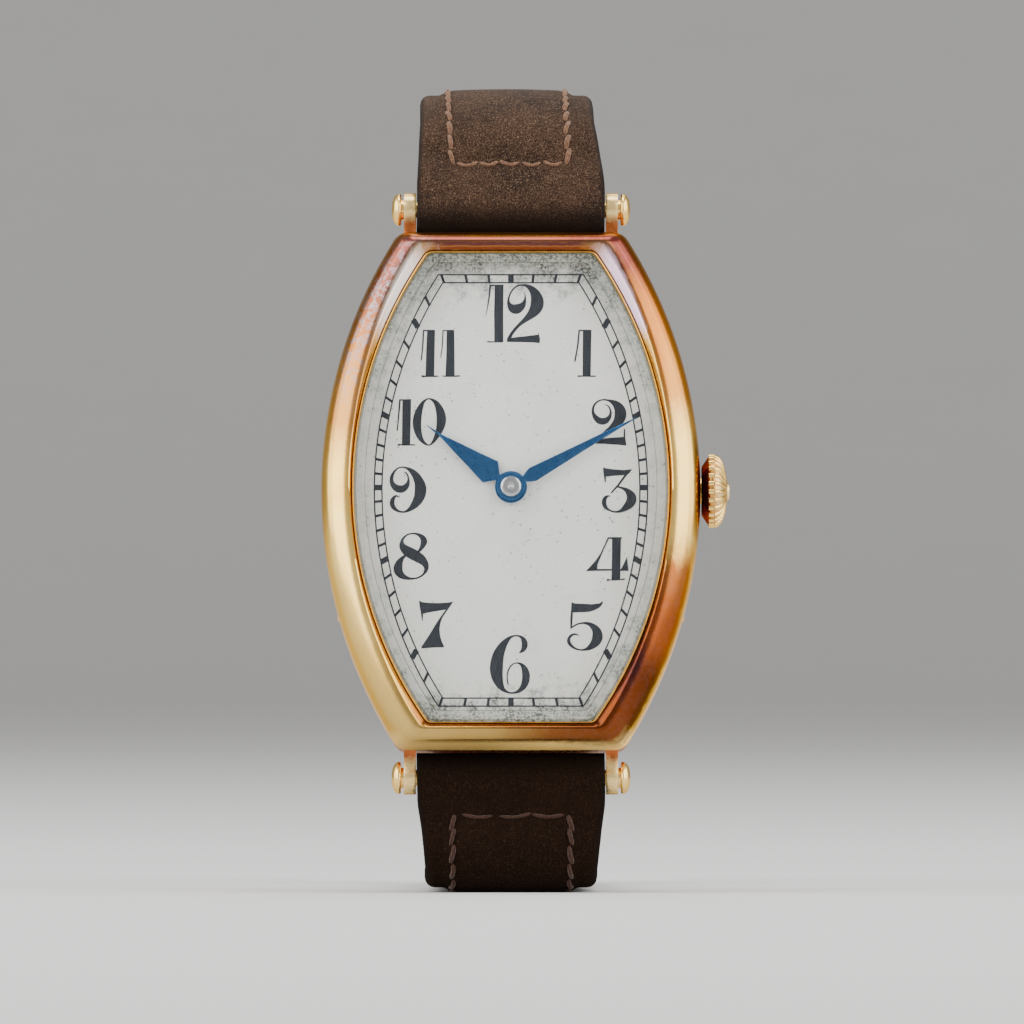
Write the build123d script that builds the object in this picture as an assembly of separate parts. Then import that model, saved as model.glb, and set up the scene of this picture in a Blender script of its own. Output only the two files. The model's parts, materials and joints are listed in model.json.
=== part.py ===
from build123d import *
import math
import os

# Barrel-shaped wristwatch on a two-piece leather strap. Millimetres, +Z up.
# The dial faces -Y, 3 o'clock is +X and 12 o'clock is +Z. The watch stands on the flat run of its
# lower strap, and the origin lies in that flat, under the dial's vertical middle line.
# The watch head is built flat: x to 3 o'clock, y to 12 o'clock, z out of the dial, with its origin
# on the hand arbor where the dial's back rests. placed() then stands it up over the lower strap
# bar, leaning back a little.

# Case, seen from the front
case_half_width = 14.17
case_half_height = 19.4
case_end_half = 8.4
case_corner = 1.3
smallest_corner = 0.3
case_drop = 0.2
bezel_side_band = 2.47
bezel_end_band = 1.8
bezel_end_slant = 2.3
opening_corner = 0.7

# Case, in depth
bezel_skirt = 0.8
bezel_height = 4.0
bezel_side = 1.2
bezel_dome_power = 2.3
bezel_steps = 6
bezel_step_power = 1.25
bezel_wall = 1.35
lip_height = 0.8
crystal_flange = 0.5
crystal_rise = 0.95
crystal_bevel = 0.3
crystal_gap = 0.03
middle_height = 3.9
middle_inset = 0.15
middle_wall = 1.2
back_thickness = 1.0
back_dish = 0.35
back_slope = 1.6
back_rim_height = 0.9
back_rim_wall = 0.7
side_screw_radius = 0.25
side_screw_head = 0.42
side_screw_head_thick = 0.3
side_screw_seat = 0.2
side_screw_spread = 9.0
side_screw_tip = 0.1

# Lugs, bars and strap width
lug_inner_half = 7.1
lug_width = 0.9
lug_round = 1.25
lug_root = 1.6
lug_under_gap = 0.6
lug_top_share = 0.9
bar_radius = 0.6
bar_reach = 1.95
bar_depth = 2.0
bar_fit = 0.03
bar_head_radius = 1.2
bar_head_thick = 0.55
bar_neck_radius = 0.75
bar_neck = 0.15
bar_slot_depth = 0.2
bar_slot_width = 0.22
head_round_share = 0.7
press_gap = 0.01
strap_fit = 0.05
strap_side_gap = 0.15

# Dial and hands
dial_gap = 0.1
dial_thick = 0.4
dial_hole = 1.15
dial_foot_radius = 0.35
dial_foot_length = 0.9
dial_foot_spread = 9.6
dial_foot_angle = 128
dial_foot_fit = 0.02
dial_foot_overlap = 0.1
hour_tip = 7.8
hour_width = 1.96
hour_shoulder = 1.9
hour_needle = 6.6
hour_needle_width = 0.22
hour_neck_width = 0.5
hour_angle = 143.6
minute_tip = 10.7
minute_width = 1.12
minute_shoulder = 1.85
minute_needle = 7.8
minute_needle_width = 0.4
minute_bend = 0.3
minute_angle = 29
hand_thick = 0.15
hand_gap = 0.35
hour_hub_radius = 1.2
minute_hub_radius = 1.06
hub_cap_radius = 0.77
hub_cap_height = 0.12
hub_wall = 0.2
hub_under_gap = 0.08
hub_bore_end = 0.05
hour_boss = 0.2
hour_boss_depth = 0.12
hour_neck_share = 1.05
hand_tip_half = 0.04
hand_tip_share = 0.7
minute_gap_share = 0.8

# Crown and stem
crown_radius = 2.78
crown_length = 2.06
crown_rib_length = 0.78
crown_rib_depth = 0.18
crown_ribs = 26
crown_skirt = 0.45
crown_gap = 0.16
crown_button = 0.65
crown_button_rise = 0.12
crown_rib_share = 0.22
crown_skirt_share = 0.72
crown_dome_radius_share = 0.82
crown_dome_reach_share = 0.72
crown_stem_seat = 0.5
tube_end_gap = 0.05
tube_radius = 1.0
tube_stand = 0.45
tube_fit = 0.08
stem_depth = 2.2
stem_radius = 0.5
stem_fit = 0.05
stem_pull = 0.9
stem_inner = 5.3
stem_groove_width = 0.8
stem_groove_radius = 0.3

# Movement stack, from the dial seat backwards
plate_radius = 11.25
plate_thick = 1.4
recess_depth = 0.7
recess_radius = 8.3
train_room = 1.8
bridge_thick = 0.9
wheel_recess = 0.5
bridge_radius = 10.7
bridge_wall = 8.6
bridge_split = 0.35
ring_thick = 1.55
ring_fit = 0.1
case_fit = 0.1
pivot_radius = 0.16
arbor_radius = 0.28
jewel_radius = 0.55
jewel_thick = 0.3
jewel_fit = 0.04
end_shake = 0.1
screw_head_radius = 0.75
screw_head = 0.25
slot_width = 0.16
slot_depth = 0.2
screw_fit = 0.05
screw_seat_gap = 0.01
foot_overlap = 0.1
bridge_overreach = 0.75
bridge_screw_reach = 9.6
train_window = 0.3
stem_block_start = 0.1
stem_block_edge = 0.5
stem_block_half = 1.95
stem_block_gap = 0.1
stem_block_cover = 0.05
stem_slot_half = 1.62
stem_slot_gap = 0.25
keyless_room_x = 8.3
keyless_room_wide = 5.0
keyless_room_high = 9.2
center_hole_room = 0.08
barrel_room = 0.35
winding_room = 1.3
crown_boss_radius = 0.7
movement_screw_radius = 1.1
movement_screw_reach = 0.45
movement_screw_thick = 0.3
movement_notch_radius = 1.15
movement_notch_inside = 0.25
ring_notch_radius = 1.25
ring_notch_reach = 0.35
ring_dial_gap = 0.02

# Going train: teeth, modules and the direction from each arbor to the next
barrel_teeth = 72
center_pinion_teeth = 12
barrel_module = 0.1362
barrel_angle = 75
barrel_height = 1.15
barrel_wall = 0.3
barrel_arbor_radius = 0.9
barrel_arbor_fit = 0.05
barrel_floor = 0.15
barrel_flange = 0.3
barrel_plate_gap = 0.1
barrel_rim_modules = 1.4
barrel_core_gap = 0.2
spring_side_gap = 0.25
spring_turns = 5
spring_strip = 0.12
center_teeth = 64
third_pinion_teeth = 8
center_module = 0.118
third_angle = 190
third_teeth = 60
fourth_pinion_teeth = 8
third_module = 0.1
fourth_reach = 4.5
fourth_teeth = 60
escape_pinion_teeth = 6
fourth_module = 0.088
escape_reach = 6.3
escape_teeth = 15
escape_radius = 1.95
wheel_thick = 0.15
spoke_width = 0.35
hub_radius = 0.55
tooth_tip_modules = 0.75
tooth_root_modules = 1.05
tooth_tip_share = 0.13
rim_modules = 2.6
rim_width = 0.15
pinion_overhang = 0.1
pinion_underhang = 0.15

# Escapement and balance
pallet_reach = 2.3
pallet_thick = 0.15
pallet_gap = 0.12
pallet_lever_width = 0.3
pallet_horn_width = 0.75
pallet_hub_radius = 0.45
pallet_arm_width = 0.34
pallet_stone_radius = 0.17
pallet_stone_angle = 42
pallet_stone_room = 0.2
pallet_slot_width = 0.24
pallet_pin_gap = 0.35
pallet_staff_radius = 0.24
pallet_foot_reach = 3.0
pallet_foot_turn = -92
pallet_foot_radius = 0.75
pallet_nose_radius = 0.5
pallet_cock_drop = 0.9
pallet_cock_arm = 0.9
pallet_cock_thick = 0.2
pallet_drop = 0.6
escape_root_share = 0.74
escape_rim = 0.25
escape_thick = 0.12
balance_reach = 7.1
balance_angle = 305
balance_radius = 3.5
balance_rim = 0.4
balance_height = 0.35
balance_drop = 1.0
balance_arm_width = 0.45
balance_arm_thick = 0.15
balance_arm_lift = 0.1
cock_foot_radius = 1.2
cock_table_radius = 1.5
cock_arm_width = 2.1
cock_foot_reach = 9.6
cock_foot_turn = 31
cap_jewel_stand = 0.05
roller_gap = 0.13
roller_thick = 0.15
roller_pin_radius = 0.09
roller_pin_seat = 0.05
roller_radius = 0.75
roller_pin_circle = 0.5
hairspring_turns = 6
hairspring_outer = 2.0
hairspring_strip = 0.06
hairspring_height = 0.12
hairspring_start = 0.06
hairspring_gap = 0.2

# Winding and setting works
crown_wheel_x = 6.2
crown_wheel_teeth = 32
ratchet_teeth = 48
winding_wheel_thick = 0.3
wheel_gap = 0.03
ratchet_screw_radius = 1.3
crown_screw_radius = 1.1
winding_slot_depth = 0.24
winding_slot_turn = 35
crown_wheel_bore = 0.75
winding_seat_gap = 0.02
winding_pinion_width = 0.9
winding_pinion_teeth = 14
sliding_pinion_length = 1.7
sliding_groove_width = 0.75
sliding_groove_radius = 0.95
sliding_travel = 0.6
pinion_gap = 0.05
cannon_teeth = 10
minute_wheel_teeth = 30
minute_pinion_teeth = 8
hour_wheel_teeth = 32
motion_module = 0.13
minute_wheel_angle = 20
setting_wheel_teeth = 14
setting_wheel_turn = -14
wheel_post_radius = 0.22
wheel_post_gap = 0.03
wheel_post_stand = 0.05
cannon_bore = 0.3
cannon_radius = 0.46
hour_pipe_gap = 0.04
hour_pipe_wall = 0.22
setting_lever_pivot = (9.2, 2.6)
setting_lever_pin = (10.2, 0.0)
yoke_pivot = (9.0, -3.6)
lever_thick = 0.25
lever_gap = 0.05
lever_pin_gap = 0.08
setting_pivot_radius = 0.7
setting_nose_radius = 0.4
setting_arm_width = 0.8
setting_pin_radius = 0.3
setting_tail = (-1.5, 0.9)
setting_tail_width = 0.6
setting_tail_radius = 0.3
yoke_pivot_radius = 0.65
yoke_nose_radius = 0.32
yoke_arm_width = 0.55
yoke_pin_radius = 0.25
lever_cover_at = (8.9, 3.0)
lever_cover_size = (2.6, 2.2)
lever_finger = ((9.6, 3.4), (10.45, -1.0))
lever_finger_width = 0.5
yoke_finger = ((8.2, 3.6), (8.9, -3.9))
yoke_finger_width = 0.45
yoke_finger_end = 0.6
lever_cover_thick = 0.2
lever_groove = (1.0, 0.9)
lever_groove_half = 0.75
lever_groove_high = 0.95
lever_groove_wide = 1.8
click_radius = 0.5
click_pin_radius = 0.2
click_pin_depth = 0.3
click_pin_fit = 0.03
click_pin_room = 0.05
click_thick = 0.2
click_gap = 0.03
click_arm_width = 0.3
click_tip_gap = 0.12
click_tip_angle = 172
click_reach = 1.3
click_angle = 190

# Strap, standing as worn with the buckle open
bar_height = 8.55
bar_y = -20.6
head_lean = 6
strap_thick = 2.3
strap_roll = 1.7
lower_lean = 2.1
lower_bend = 2.2
tail_y = 38.5
tail_run = 14.0
tail_rise = 14.0
tail_lean = 2.5
tail_bend = 22.0
tail_curl = 16.0
tail_tip = 29.0
tail_half = 5.5
hole_count = 6
hole_pitch = 5.0
hole_first = 12.0
hole_radius = 0.8
top_rise = 7.85
top_fall = 1.2
upper_bend = 6.5
drop_y = 15.8
drop_run = 13.0
drop_bend = 11.5
drop_length = 20.0
buckle_height = 25.0
drop_half = 5.8
bend_half = 6.45
bend_run = 7.5

# Buckle and keepers
buckle_roll = 1.35
buckle_bar_radius = 0.6
buckle_fit = 0.05
buckle_gap = 0.35
buckle_side = 1.3
buckle_reach = 9.0
buckle_end = 1.5
buckle_thick = 1.5
buckle_corner = 2.2
buckle_inner_share = 0.3
buckle_ear_share = 0.7
tongue_width = 1.3
tongue_thick = 0.8
tongue_slot_gap = 0.3
tongue_overhang = 0.9
tongue_rest_gap = 0.05
tongue_eye_share = 0.6
tongue_slot_low = 3.0
tongue_slot_high = 2.3
keeper_wall = 0.9
keeper_room = 2.6
keeper_gap = 0.3
fixed_keeper_gap = 0.05
keeper_side_gap = 0.15
keeper_round_share = 0.9
keeper_length = 3.0
fixed_keeper_rise = 4.2
sliding_keeper_gap = 1.5

# Levels worked out from the sizes above
opening_half_width = case_half_width - bezel_side_band
opening_half_height = case_half_height - bezel_end_band
opening_end_half = case_end_half - bezel_end_slant
crown_reach = case_half_width + crown_length
bezel_low = -bezel_skirt
bezel_top = bezel_low + bezel_height
lip_low = bezel_top - lip_height
middle_low = bezel_low - middle_height
back_low = middle_low - back_thickness
plate_low = -plate_thick
recess_floor = -recess_depth
bridge_high = plate_low - train_room
bridge_low = bridge_high - bridge_thick
wheel_floor = bridge_low + wheel_recess
winding_wheel_low = wheel_floor - winding_wheel_thick - wheel_gap
stem_z = -stem_depth
pinion_radius = stem_z - winding_wheel_low - winding_wheel_thick - pinion_gap
case_y = -case_drop
bar_local_y = case_half_height + bar_reach
lean_sin = math.sin(math.radians(head_lean))
lean_cos = math.cos(math.radians(head_lean))
dial_seat_y = bar_y - bar_depth * lean_cos + (bar_local_y - case_y) * lean_sin
hand_height_z = bar_height + bar_depth * lean_sin + (bar_local_y - case_y) * lean_cos
upper_bar_y = bar_y + 2 * bar_local_y * lean_sin
upper_bar_height = bar_height + 2 * bar_local_y * lean_cos
top_z = upper_bar_height + top_rise
strap_half = lug_inner_half - strap_side_gap
barrel_hole_radius = barrel_arbor_radius / 2 + barrel_arbor_fit
screw_room_radius = screw_head_radius + screw_fit

barrel_reach = barrel_module * (barrel_teeth + center_pinion_teeth) / 2
third_reach = center_module * (center_teeth + third_pinion_teeth) / 2
fourth_step = third_module * (third_teeth + fourth_pinion_teeth) / 2
escape_step = fourth_module * (fourth_teeth + escape_pinion_teeth) / 2
minute_wheel_reach = motion_module * (cannon_teeth + minute_wheel_teeth) / 2
setting_step = motion_module * (minute_wheel_teeth + setting_wheel_teeth) / 2


def polar(radius, degrees, centre=(0.0, 0.0)):
    turn = math.radians(degrees)
    return (centre[0] + radius * math.cos(turn), centre[1] + radius * math.sin(turn))


def heading(start, end):
    return math.degrees(math.atan2(end[1] - start[1], end[0] - start[0]))


def span(start, end):
    return math.hypot(end[0] - start[0], end[1] - start[1])


def triangle_angle(near, far, opposite):
    # Angle at the hand arbor between two arbors that lie one gear distance apart.
    return math.degrees(math.acos((near**2 + far**2 - opposite**2) / (2 * near * far)))


centre_at = (0.0, 0.0)
barrel_at = polar(barrel_reach, barrel_angle)
third_at = polar(third_reach, third_angle)
fourth_angle = third_angle + triangle_angle(third_reach, fourth_reach, fourth_step)
fourth_at = polar(fourth_reach, fourth_angle)
escape_angle = fourth_angle + triangle_angle(fourth_reach, escape_reach, escape_step)
escape_at = polar(escape_reach, escape_angle)
balance_at = polar(balance_reach, balance_angle)
pallet_heading = heading(escape_at, balance_at)
pallet_at = polar(pallet_reach, pallet_heading, escape_at)
minute_wheel_at = polar(minute_wheel_reach, minute_wheel_angle)
setting_wheel_at = polar(setting_step, setting_wheel_turn, minute_wheel_at)
crown_wheel_at = (crown_wheel_x, 0.0)
winding_step = span(barrel_at, crown_wheel_at)
winding_module = 2 * winding_step / (ratchet_teeth + crown_wheel_teeth)
crown_wheel_radius = winding_module * crown_wheel_teeth / 2
winding_pinion_x = crown_wheel_x + crown_wheel_radius
sliding_pinion_x = winding_pinion_x - winding_pinion_width / 2 - pinion_gap - sliding_pinion_length
movement_screw_angles = (135, 315)


def placed(shape):
    outward = (0, -lean_cos, lean_sin)
    stand = Plane(origin=(0, dial_seat_y, hand_height_z), x_dir=(1, 0, 0), z_dir=outward)
    return shape.moved(stand.location)


def save(shape, node):
    export_step(shape, f"parts/{node}.step")


def barrel_outline(half_width, half_height, end_half, corner):
    right = ThreePointArc((end_half, -half_height), (half_width, 0), (end_half, half_height))
    top = Line((end_half, half_height), (-end_half, half_height))
    left = ThreePointArc((-end_half, half_height), (-half_width, 0), (-end_half, -half_height))
    bottom = Line((-end_half, -half_height), (end_half, -half_height))
    face = make_face([right, top, left, bottom])
    return Pos(0, case_y) * fillet(face.vertices(), corner)


def case_outline(inset):
    return barrel_outline(
        case_half_width - inset,
        case_half_height - inset,
        case_end_half - inset / 2,
        max(case_corner - inset / 2, smallest_corner),
    )


def opening_outline(gap):
    return barrel_outline(
        opening_half_width - gap,
        opening_half_height - gap,
        opening_end_half - gap / 2,
        opening_corner,
    )


def slab(face, z_low, z_high):
    return Pos(0, 0, z_low) * extrude(face, z_high - z_low)


def disc(radius, z_low, z_high, at=(0.0, 0.0)):
    return Pos(at[0], at[1], (z_low + z_high) / 2) * Cylinder(radius, z_high - z_low)


def block(x_low, x_high, y_low, y_high, z_low, z_high):
    middle = Pos((x_low + x_high) / 2, (y_low + y_high) / 2, (z_low + z_high) / 2)
    return middle * Box(x_high - x_low, y_high - y_low, z_high - z_low)


def along_x(radius, x_low, x_high, y=0.0, z=0.0):
    return Pos((x_low + x_high) / 2, y, z) * Rot(0, 90, 0) * Cylinder(radius, x_high - x_low)


def along_y(radius, y_low, y_high, x=0.0, z=0.0):
    return Pos(x, (y_low + y_high) / 2, z) * Rot(90, 0, 0) * Cylinder(radius, y_high - y_low)


def arm_between(start, end, width):
    middle = ((start[0] + end[0]) / 2, (start[1] + end[1]) / 2)
    return Pos(*middle) * Rot(0, 0, heading(start, end)) * Rectangle(span(start, end), width)


# Gears


def gear_face(teeth, module, tooth_at, at):
    # Trapezoid teeth over V-shaped roots, with one tooth centred on the angle tooth_at.
    pitch_radius = teeth * module / 2
    tip = pitch_radius + tooth_tip_modules * module
    root = pitch_radius - tooth_root_modules * module
    pitch = 360 / teeth
    points = []
    for tooth in range(teeth):
        middle = tooth_at + tooth * pitch
        points.append(polar(tip, middle - tooth_tip_share * pitch))
        points.append(polar(tip, middle + tooth_tip_share * pitch))
        points.append(polar(root, middle + 0.5 * pitch))
    return Pos(at[0], at[1]) * make_face(Polyline(*points, close=True))


def mate_tooth(tooth_at, teeth, direction, mate_teeth):
    # Angle of a tooth on the mating wheel, so that both wheels are in mesh along the direction.
    pitch = 360 / teeth
    mate_pitch = 360 / mate_teeth
    lead = ((tooth_at - direction) / pitch) % 1
    return direction + 180 + mate_pitch / 2 - lead * mate_pitch


def windows(face, rim, hub, spokes, at, turn=0.0):
    # Cuts the gaps between the spokes of a wheel.
    gaps = Circle(rim) - Circle(hub)
    for spoke in range(spokes):
        bar = Pos(*polar(rim / 2, turn + 360 * spoke / spokes)) * Rot(0, 0, turn + 360 * spoke / spokes)
        gaps = gaps - bar * Rectangle(rim * 1.1, spoke_width)
    return face - Pos(at[0], at[1]) * gaps


def spoked_wheel(teeth, module, tooth_at, at, z_low, spokes=4):
    rim = teeth * module / 2 - rim_modules * module - rim_width
    face = windows(gear_face(teeth, module, tooth_at, at), rim, hub_radius, spokes, at)
    return slab(face, z_low, z_low + wheel_thick)


def arbor(at, lower_jewel_top, upper_jewel_low):
    # A staff between two jewels, given in z: the body, then a thin pivot inside each jewel.
    body = disc(arbor_radius, upper_jewel_low + end_shake, lower_jewel_top - end_shake, at)
    return body + disc(
        pivot_radius, upper_jewel_low - jewel_thick, lower_jewel_top + jewel_thick, at
    )


# Case


def bezel():
    sections = [case_outline(0)]
    floor = bezel_low + bezel_side
    rise = bezel_top - floor
    sections.append(Pos(0, 0, bezel_side) * case_outline(0))
    for step in range(1, bezel_steps + 1):
        inward = (step / bezel_steps) ** bezel_step_power
        height = rise * (1 - (1 - inward) ** bezel_dome_power) ** (1 / bezel_dome_power)
        ring = barrel_outline(
            case_half_width + (opening_half_width - case_half_width) * inward,
            case_half_height + (opening_half_height - case_half_height) * inward,
            case_end_half + (opening_end_half - case_end_half) * inward,
            case_corner + (opening_corner - case_corner) * inward,
        )
        sections.append(Pos(0, 0, bezel_side + height) * ring)
    dome = Pos(0, 0, bezel_low) * loft(sections, ruled=True)
    cavity = slab(case_outline(bezel_wall), bezel_low - 1, lip_low)
    return dome - cavity - slab(opening_outline(0), lip_low - 1, bezel_top + 1)


def crystal():
    flange = slab(case_outline(bezel_wall + crystal_gap), lip_low - crystal_flange, lip_low)
    face = slab(opening_outline(crystal_gap), lip_low, lip_low + crystal_rise)
    top_edges = face.edges().group_by(Axis.Z)[-1]
    return flange + chamfer(top_edges, crystal_bevel)


def lug(side, end):
    # side is -1 or 1 for 9 or 3 o'clock, end is -1 or 1 for 6 or 12 o'clock.
    bar_at = (end * (case_half_height + bar_reach) + case_y, -bar_depth)
    root_y = end * (case_half_height - lug_root) + case_y
    low = middle_low + lug_under_gap
    eye = Pos(*bar_at) * Circle(lug_round)
    arm = make_face(
        Polyline(
            (root_y, bezel_low),
            (bar_at[0], bar_at[1] + lug_round * lug_top_share),
            (bar_at[0], bar_at[1] - lug_round),
            (root_y, low),
            close=True,
        )
    )
    profile = Plane.YZ * (eye + arm)
    x = side * (lug_inner_half + lug_width / 2)
    return Pos(x, 0, 0) * extrude(profile, lug_width / 2, both=True)


def side_screw_places():
    places = []
    for side in (-1, 1):
        for end in (-1, 1):
            places.append((side, end * side_screw_spread + case_y))
    return places


def case_edge_x(inset, y):
    # Half-width of the case outline, drawn in by an inset, at a height y.
    half_height = case_half_height - inset
    half_width = case_half_width - inset
    bow = half_width - (case_end_half - inset / 2)
    radius = (half_height**2 + bow**2) / (2 * bow)
    return half_width - radius + math.sqrt(radius**2 - (y - case_y) ** 2)


def side_screw_reach(y):
    # The x of a side screw's head seat and of its tip, inside the case back's rim.
    seat = case_edge_x(middle_inset, y) - side_screw_seat
    rim_inside = case_edge_x(middle_inset + middle_wall + case_fit + back_rim_wall, y)
    return (seat, rim_inside + side_screw_tip)


def back_screw_z():
    return middle_low + back_rim_height / 2


def middle_case():
    band = slab(case_outline(middle_inset), middle_low, bezel_low)
    band = band - slab(case_outline(middle_inset + middle_wall), middle_low - 1, bezel_low + 1)
    for side in (-1, 1):
        for end in (-1, 1):
            band = band + lug(side, end)
    bar_length = 2 * (lug_inner_half + lug_width) + 1
    for end in (-1, 1):
        bar_y_local = end * (case_half_height + bar_reach) + case_y
        hole = along_x(bar_radius + bar_fit, -bar_length / 2, bar_length / 2, bar_y_local, -bar_depth)
        band = band - hole
    band = band - along_x(tube_radius, opening_half_width, case_half_width, 0, stem_z)
    for side, y in side_screw_places():
        x_out = side * (case_half_width + 1)
        seat_x = side * side_screw_reach(y)[0]
        hole_low, hole_high = sorted((0, x_out))
        seat_low, seat_high = sorted((seat_x, x_out))
        hole = along_x(side_screw_radius + bar_fit, hole_low, hole_high, y, back_screw_z())
        seat = along_x(side_screw_head + bar_fit, seat_low, seat_high, y, back_screw_z())
        band = band - hole - seat
    return band


def case_back():
    plate = loft(
        [
            Pos(0, 0, back_low) * case_outline(middle_inset + back_slope),
            Pos(0, 0, middle_low) * case_outline(middle_inset),
        ],
        ruled=True,
    )
    rim_inset = middle_inset + middle_wall + case_fit
    rim = slab(case_outline(rim_inset), middle_low, middle_low + back_rim_height)
    hollow = slab(
        case_outline(rim_inset + back_rim_wall), middle_low - back_dish, middle_low + 2
    )
    back = plate + rim - hollow
    for side, y in side_screw_places():
        seat, tip = side_screw_reach(y)
        x_low, x_high = sorted((side * (tip - 2 * side_screw_tip), side * seat))
        back = back - along_x(side_screw_radius, x_low, x_high, y, back_screw_z())
    return back


def case_screws():
    screws = []
    for side, y in side_screw_places():
        seat, tip = side_screw_reach(y)
        face = seat + side_screw_head_thick
        shank = sorted((side * tip, side * seat))
        head = sorted((side * seat, side * face))
        screw = along_x(side_screw_radius - press_gap, shank[0], shank[1], y, back_screw_z())
        screw = screw + along_x(side_screw_head, head[0], head[1], y, back_screw_z())
        slot = Box(side_screw_head_thick * 0.8, 2 * side_screw_head, slot_width)
        slot = Pos(side * face, y, back_screw_z()) * slot
        screws.append(screw - slot)
    return Compound(screws)


def crown_tube():
    x_low = case_half_width - middle_inset - middle_wall
    x_high = case_half_width + tube_stand
    tube = along_x(tube_radius - press_gap, x_low, x_high, 0, stem_z)
    return tube - along_x(stem_radius + stem_fit, x_low - 1, x_high + 1, 0, stem_z)


def strap_bar(end):
    y = end * (case_half_height + bar_reach) + case_y
    outer = lug_inner_half + lug_width
    bar = along_x(bar_radius, -outer - bar_neck, outer, y, -bar_depth)
    neck = along_x(bar_neck_radius, -outer - bar_neck, -outer, y, -bar_depth)
    head = along_x(bar_head_radius, -outer - bar_neck - bar_head_thick, -outer - bar_neck, y, -bar_depth)
    outer_rim = head.edges().group_by(Axis.X)[0]
    return bar + neck + fillet(outer_rim, bar_head_thick * head_round_share)


def bar_screw(end):
    y = end * (case_half_height + bar_reach) + case_y
    outer = lug_inner_half + lug_width
    neck = along_x(bar_neck_radius, outer, outer + bar_neck, y, -bar_depth)
    head = along_x(bar_head_radius, outer + bar_neck, outer + bar_neck + bar_head_thick, y, -bar_depth)
    outer_rim = head.edges().group_by(Axis.X)[-1]
    slot_x = outer + bar_neck + bar_head_thick
    slot = Box(2 * bar_slot_depth, 2.2 * bar_head_radius, bar_slot_width)
    slot = Pos(slot_x, y, -bar_depth) * slot
    return neck + fillet(outer_rim, bar_head_thick * head_round_share) - slot


# Dial and hands


def dial_feet_places():
    return [polar(dial_foot_spread, dial_foot_angle), polar(dial_foot_spread, dial_foot_angle + 180)]


def dial():
    outline = case_outline(bezel_wall + dial_gap)
    plate = slab(outline - Circle(dial_hole), 0, dial_thick)
    for x, y in dial_feet_places():
        plate = plate + disc(dial_foot_radius, -dial_foot_length, dial_foot_overlap, (x, y))
    return plate


hour_low = dial_thick + hand_gap
minute_low = hour_low + hand_thick + hand_gap * minute_gap_share
hour_pipe_bore = cannon_radius + hour_pipe_gap
hour_pipe_radius = hour_pipe_bore + hour_pipe_wall


def hour_hand():
    half = hour_width / 2
    blade = make_face(
        Polyline(
            (0, hour_neck_width / 2),
            (hour_hub_radius * hour_neck_share, hour_neck_width / 2),
            (hour_shoulder, half),
            (hour_needle, hour_needle_width / 2),
            (hour_tip, hand_tip_half),
            (hour_tip, -hand_tip_half),
            (hour_needle, -hour_needle_width / 2),
            (hour_shoulder, -half),
            (hour_hub_radius * hour_neck_share, -hour_neck_width / 2),
            (0, -hour_neck_width / 2),
            close=True,
        )
    )
    flat = blade + Circle(hour_hub_radius)
    hand = slab(flat, hour_low, hour_low + hand_thick)
    hand = hand + disc(hour_pipe_radius + hour_boss, hour_low - hour_boss_depth, hour_low + hand_thick)
    hand = hand - disc(hour_pipe_radius + press_gap, hour_low - 1, hour_low + hand_thick)
    hand = hand - disc(hour_pipe_bore, hour_low - 1, hour_low + 1)
    return Rot(0, 0, hour_angle) * hand


def minute_hand():
    half = minute_width / 2
    side = make_face(
        Polyline(
            (-minute_hub_radius, minute_low),
            (minute_needle, minute_low),
            (minute_tip, minute_low - minute_bend),
            (minute_tip, minute_low - minute_bend + hand_thick * hand_tip_share),
            (minute_needle, minute_low + hand_thick),
            (-minute_hub_radius, minute_low + hand_thick),
            close=True,
        )
    )
    strip = extrude(Plane.XZ * side, half * 2, both=True)
    plan = make_face(
        Polyline(
            (0, minute_needle_width / 2),
            (minute_hub_radius, minute_needle_width / 2),
            (minute_shoulder, half),
            (minute_needle, minute_needle_width / 2),
            (minute_tip, hand_tip_half),
            (minute_tip, -hand_tip_half),
            (minute_needle, -minute_needle_width / 2),
            (minute_shoulder, -half),
            (minute_hub_radius, -minute_needle_width / 2),
            (0, -minute_needle_width / 2),
            close=True,
        )
    )
    plan = plan + Circle(minute_hub_radius)
    blade = strip & slab(plan, minute_low - 1, minute_low + 1)
    hub_low = hour_low + hand_thick + hub_under_gap
    hub = disc(cannon_radius + hub_wall, hub_low, minute_low)
    cap = disc(hub_cap_radius, minute_low + hand_thick, minute_low + hand_thick + hub_cap_height)
    hand = blade + hub - disc(cannon_radius, hub_low - 1, minute_low + hub_bore_end) + cap
    return Rot(0, 0, minute_angle) * hand


# Movement frame


def jewel_places():
    # Each jewel as its place, the z of its lower face and its pivot's radius.
    in_plate = plate_low
    in_bridge = bridge_high - jewel_thick
    places = []
    for at in (third_at, fourth_at, escape_at):
        places.append((at, in_plate))
        places.append((at, in_bridge))
    places.append((pallet_at, in_plate))
    places.append((balance_at, in_plate))
    places.append((balance_at, in_bridge))
    return places


def jewels():
    stones = []
    for at, low in jewel_places():
        stone = disc(jewel_radius, low, low + jewel_thick, at)
        stones.append(stone - disc(pivot_radius + jewel_fit, low - 1, low + 1, at))
    cap_low = bridge_high - 2 * jewel_thick
    cap_low = cap_low - cap_jewel_stand
    stones.append(disc(jewel_radius, cap_low, cap_low + jewel_thick, balance_at))
    return Compound(stones)


def stem_block_sizes():
    x_low, x_high = stem_inner - stem_block_start, plate_radius - stem_block_edge
    return (x_low, x_high, -stem_block_half, stem_block_half)


def slot_sizes():
    reach = sliding_pinion_x - sliding_travel - stem_slot_gap
    return (reach, winding_pinion_x + winding_pinion_width / 2 + stem_slot_gap)


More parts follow.
